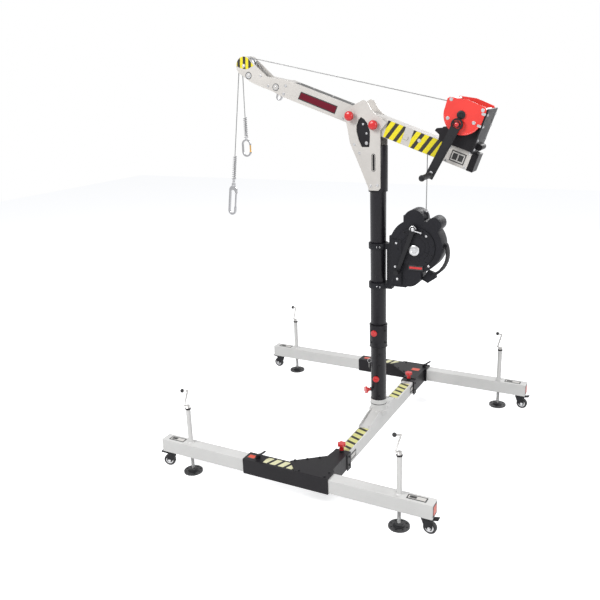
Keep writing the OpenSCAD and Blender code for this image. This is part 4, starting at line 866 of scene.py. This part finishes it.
# Retrieval block: screws round its rim, except where the crank's hub lies, and on its clamp
p = Piece()
for a in range(0, 360, 30):
    r = math.radians(a + 8)
    x, z = BLOCK[0] + 112 * math.cos(r), BLOCK[1] + 112 * math.sin(r)
    if math.dist((x, z), BLOCK_HUB) > 34:
        for s in SIDES:
            p.bolt(mm(x, s * BLOCK_RIM, z), Y * s, 0.0042, inset=True)
for x, z in ((122, 1160), (122, 1400), (165, 1160), (168, 1410)):
    for s in SIDES:
        p.bolt(mm(x, s * CLAMP_FACE, z), Y * s, 0.005)
p.make("block_screws", "mast", "cast", "black_steel", 30)
p = Piece()
for x, z in ((142, 1398), (150, 1172), (330, 1452), (348, 1270), (136, 1250)):
    p.bolt(mm(x, -CLAMP_FACE if x < 170 else -BLOCK_RIM, z), -Y, 0.0045)
p.make("block_bright_screws", "mast", "zinc", "bare_steel", 30)


def on_block(s, r, a):
    """A point on one face of the block, in millimetres and radians about its centre."""
    return mm(BLOCK[0] + r * math.cos(a), s * BLOCK_FACE, BLOCK[1] + r * math.sin(a))


def block_side(s, tag):
    """Raised rings and ribs on one face of the block, and the bright hub in their middle."""
    p = Piece()
    for r in (88, 62):
        p.tube([on_block(s, r, math.tau * i / 72) for i in range(73)], 0.0022, 8, Y)
    for a in range(0, 360, 45):
        p.tube([on_block(s, r, math.radians(a + 22)) for r in (64, 75, 86)], 0.0026, 8, Y)
    p.make("block_ribs_" + tag, "mast", "housing", "black_plastic", 60)
    hub = [(0.032, 0.0685), (0.0325, 0.0695), (0.030, 0.0715), (0.017, 0.0725), (0.015, 0.0705),
           (0.004, 0.0705)]
    turned("block_hub_" + tag, hub, mm(258, 0, 1361), Y * s, 40, "mast", "zinc", "bare_steel", 35)


for s, tag in SIDES.items():
    block_side(s, tag)
# Steel arc, centre bolt and release lever on the hub of the block's crank
hub = mm(BLOCK_HUB[0], -85, BLOCK_HUB[1])
lever = hub + X * 0.050 - Z * 0.017
turns = [math.radians(a) for a in range(10, 191, 10)]
arc = [hub + (X * math.cos(a) + Z * math.sin(a)) * 0.020 for a in turns]
p = Piece().tube(arc, 0.0024, 8, Y).bolt(hub, -Y, 0.007)
p.tube([hub + X * 0.010 - Z * 0.009, lever], 0.004, 12, Y)
p.lathe([(0.0055, -0.006), (0.0065, -0.004), (0.0065, 0.004), (0.0055, 0.006)], lever, Y, 20)
p.make("crank_hub_steel", "arrester_crank", "zinc", "bare_steel", 40)
# Grip sleeve on the carrying handle: a ribbed tube of rounded oblong section round the handle's arc
GRIP_TURNS, GRIP_STEPS = range(18, -47, -5), 20
p = Piece()
for i, turn in enumerate(GRIP_TURNS):
    a = math.radians(turn)
    radial = Vector((math.cos(a), 0, math.sin(a)))
    c = mm(300, 0, 1338) + radial * 0.1475
    bulge = 0.0006 * (i % 2)
    for j in range(GRIP_STEPS):
        t = math.tau * j / GRIP_STEPS
        cx = math.copysign(abs(math.cos(t)) ** 0.5, math.cos(t)) * (0.0100 + bulge)
        cy = math.copysign(abs(math.sin(t)) ** 0.5, math.sin(t)) * (0.0195 + bulge)
        p.verts.append(c + radial * cx + Y * cy)
        p.uv.append((t * 0.02, i * 0.01))
p.ring_faces(len(GRIP_TURNS), GRIP_STEPS)
p.make("handle_grip", "mast", "grip", "rubber", 50)
# Bare strip on the block's face, and the bush where the lifeline comes out
flat("block_strip", 0.092, 0.030, mm(268, -BLOCK_FACE, 1252), X, Z, "mast", "frame", 0.0008, 0.004)
flat("block_strip_bar", 0.080, 0.013, mm(268, -62.8, 1252), X, Z, "mast", "knob", 0.0005, 0.003)
bush = [(0.0128, 1.584), (0.0155, 1.586), (0.0155, 1.5945), (0.0125, 1.597), (0.006, 1.597), (0.0045, 1.593)]
turned("rope_exit_bush", bush, (0.552, 0.018, 0), Z, 32, "mast", "zinc", "bare_steel", 35)
p = Piece()
for z in (1108, 1362):
    p.bolt(mm(34, -61, z), X, 0.005)
    p.bolt(mm(18, -61, z), -X, 0.005)
p.make("clamp_bolts", "mast", "zinc", "bare_steel", 30)

# Hook details
p = Piece()
for z in (0.005, 0.020):
    p.lathe([(0.0084, z), (0.0092, z + 0.002), (0.0092, z + 0.007), (0.0084, z + 0.009)], HOOK, DOWN, 24)
p.make("hook_ferrule_rings", "hook", "chrome", "bright_steel", 40)
gate_pin = HOOK + DOWN * 0.100 + OUT * 0.023
p = Piece()
for s in (-1, 1):
    p.lathe([(0.0046, 0.0085), (0.0046, 0.0098), (0.003, 0.0106)], gate_pin, Y * s, 20)
p.make("hook_gate_rivets", "hook_gate", "zinc", "bright_steel", 40)


# Stage and light
def light(name, at, target, size, power):
    """A round lamp that faces its target."""
    data = bpy.data.lights.new(name, "AREA")
    data.shape, data.size, data.energy = "DISK", size, power
    o = bpy.data.objects.new(name, data)
    o.location = at
    o.rotation_euler = (Vector(target) - Vector(at)).to_track_quat("-Z", "Y").to_euler()
    bpy.context.collection.objects.link(o)


# Name, place, target, size and power
light("key", (-2.2, -4.2, 5.2), (0, 0, 1.0), 2.6, 265)
light("fill", (4.6, -3.2, 3.0), (0.2, 0, 1.1), 3.2, 120)
light("rim", (1.5, 5.0, 4.4), (0, 0, 1.2), 3.0, 150)


def seen_ray(tree):
    """1 where the camera, a reflection or glass looks at the backdrop, and 0 for the light on the object."""
    path = node(tree, "ShaderNodeLightPath")
    seen = path.outputs["Is Camera Ray"]
    for kind in ("Is Glossy Ray", "Is Transmission Ray"):
        seen = node(tree, "ShaderNodeMath", {0: seen, 1: path.outputs[kind]}, operation="MAXIMUM").outputs[0]
    return seen


world = bpy.data.worlds.new("studio")
bpy.context.scene.world = world
world.use_nodes = True
wt = world.node_tree
wt.nodes.clear()
seen = seen_ray(wt)
soft = node(wt, "ShaderNodeBackground", {"Color": (0.86, 0.88, 0.92, 1), "Strength": 0.42})
white = node(wt, "ShaderNodeBackground", {"Color": (1, 1, 1, 1), "Strength": 1.0})
both = node(wt, "ShaderNodeMixShader", {0: seen, 1: soft.outputs[0], 2: white.outputs[0]})
node(wt, "ShaderNodeOutputWorld", {"Surface": both.outputs[0]})

me = bpy.data.meshes.new("floor")
me.from_pydata([(-12, -12, 0), (12, -12, 0), (12, 12, 0), (-12, 12, 0)], [], [(0, 1, 2, 3)])
floor = bpy.data.objects.new("floor", me)
bpy.context.collection.objects.link(floor)
fm = bpy.data.materials.new("floor")
fm.use_nodes = True
ft = fm.node_tree
ft.nodes.clear()
diffuse = node(ft, "ShaderNodeBsdfDiffuse", {"Color": (0.9, 0.9, 0.9, 1)})
glow = node(ft, "ShaderNodeEmission", {"Color": (1, 1, 1, 1), "Strength": 0.62})
lit = node(ft, "ShaderNodeAddShader", {0: diffuse.outputs[0], 1: glow.outputs[0]})
plain = node(ft, "ShaderNodeBsdfDiffuse", {"Color": (0.5, 0.5, 0.5, 1)})
mixed = node(ft, "ShaderNodeMixShader", {0: seen_ray(ft), 1: plain.outputs[0], 2: lit.outputs[0]})
node(ft, "ShaderNodeOutputMaterial", {"Surface": mixed.outputs[0]})
me.materials.append(fm)

bpy.context.scene.view_settings.view_transform = "Standard"
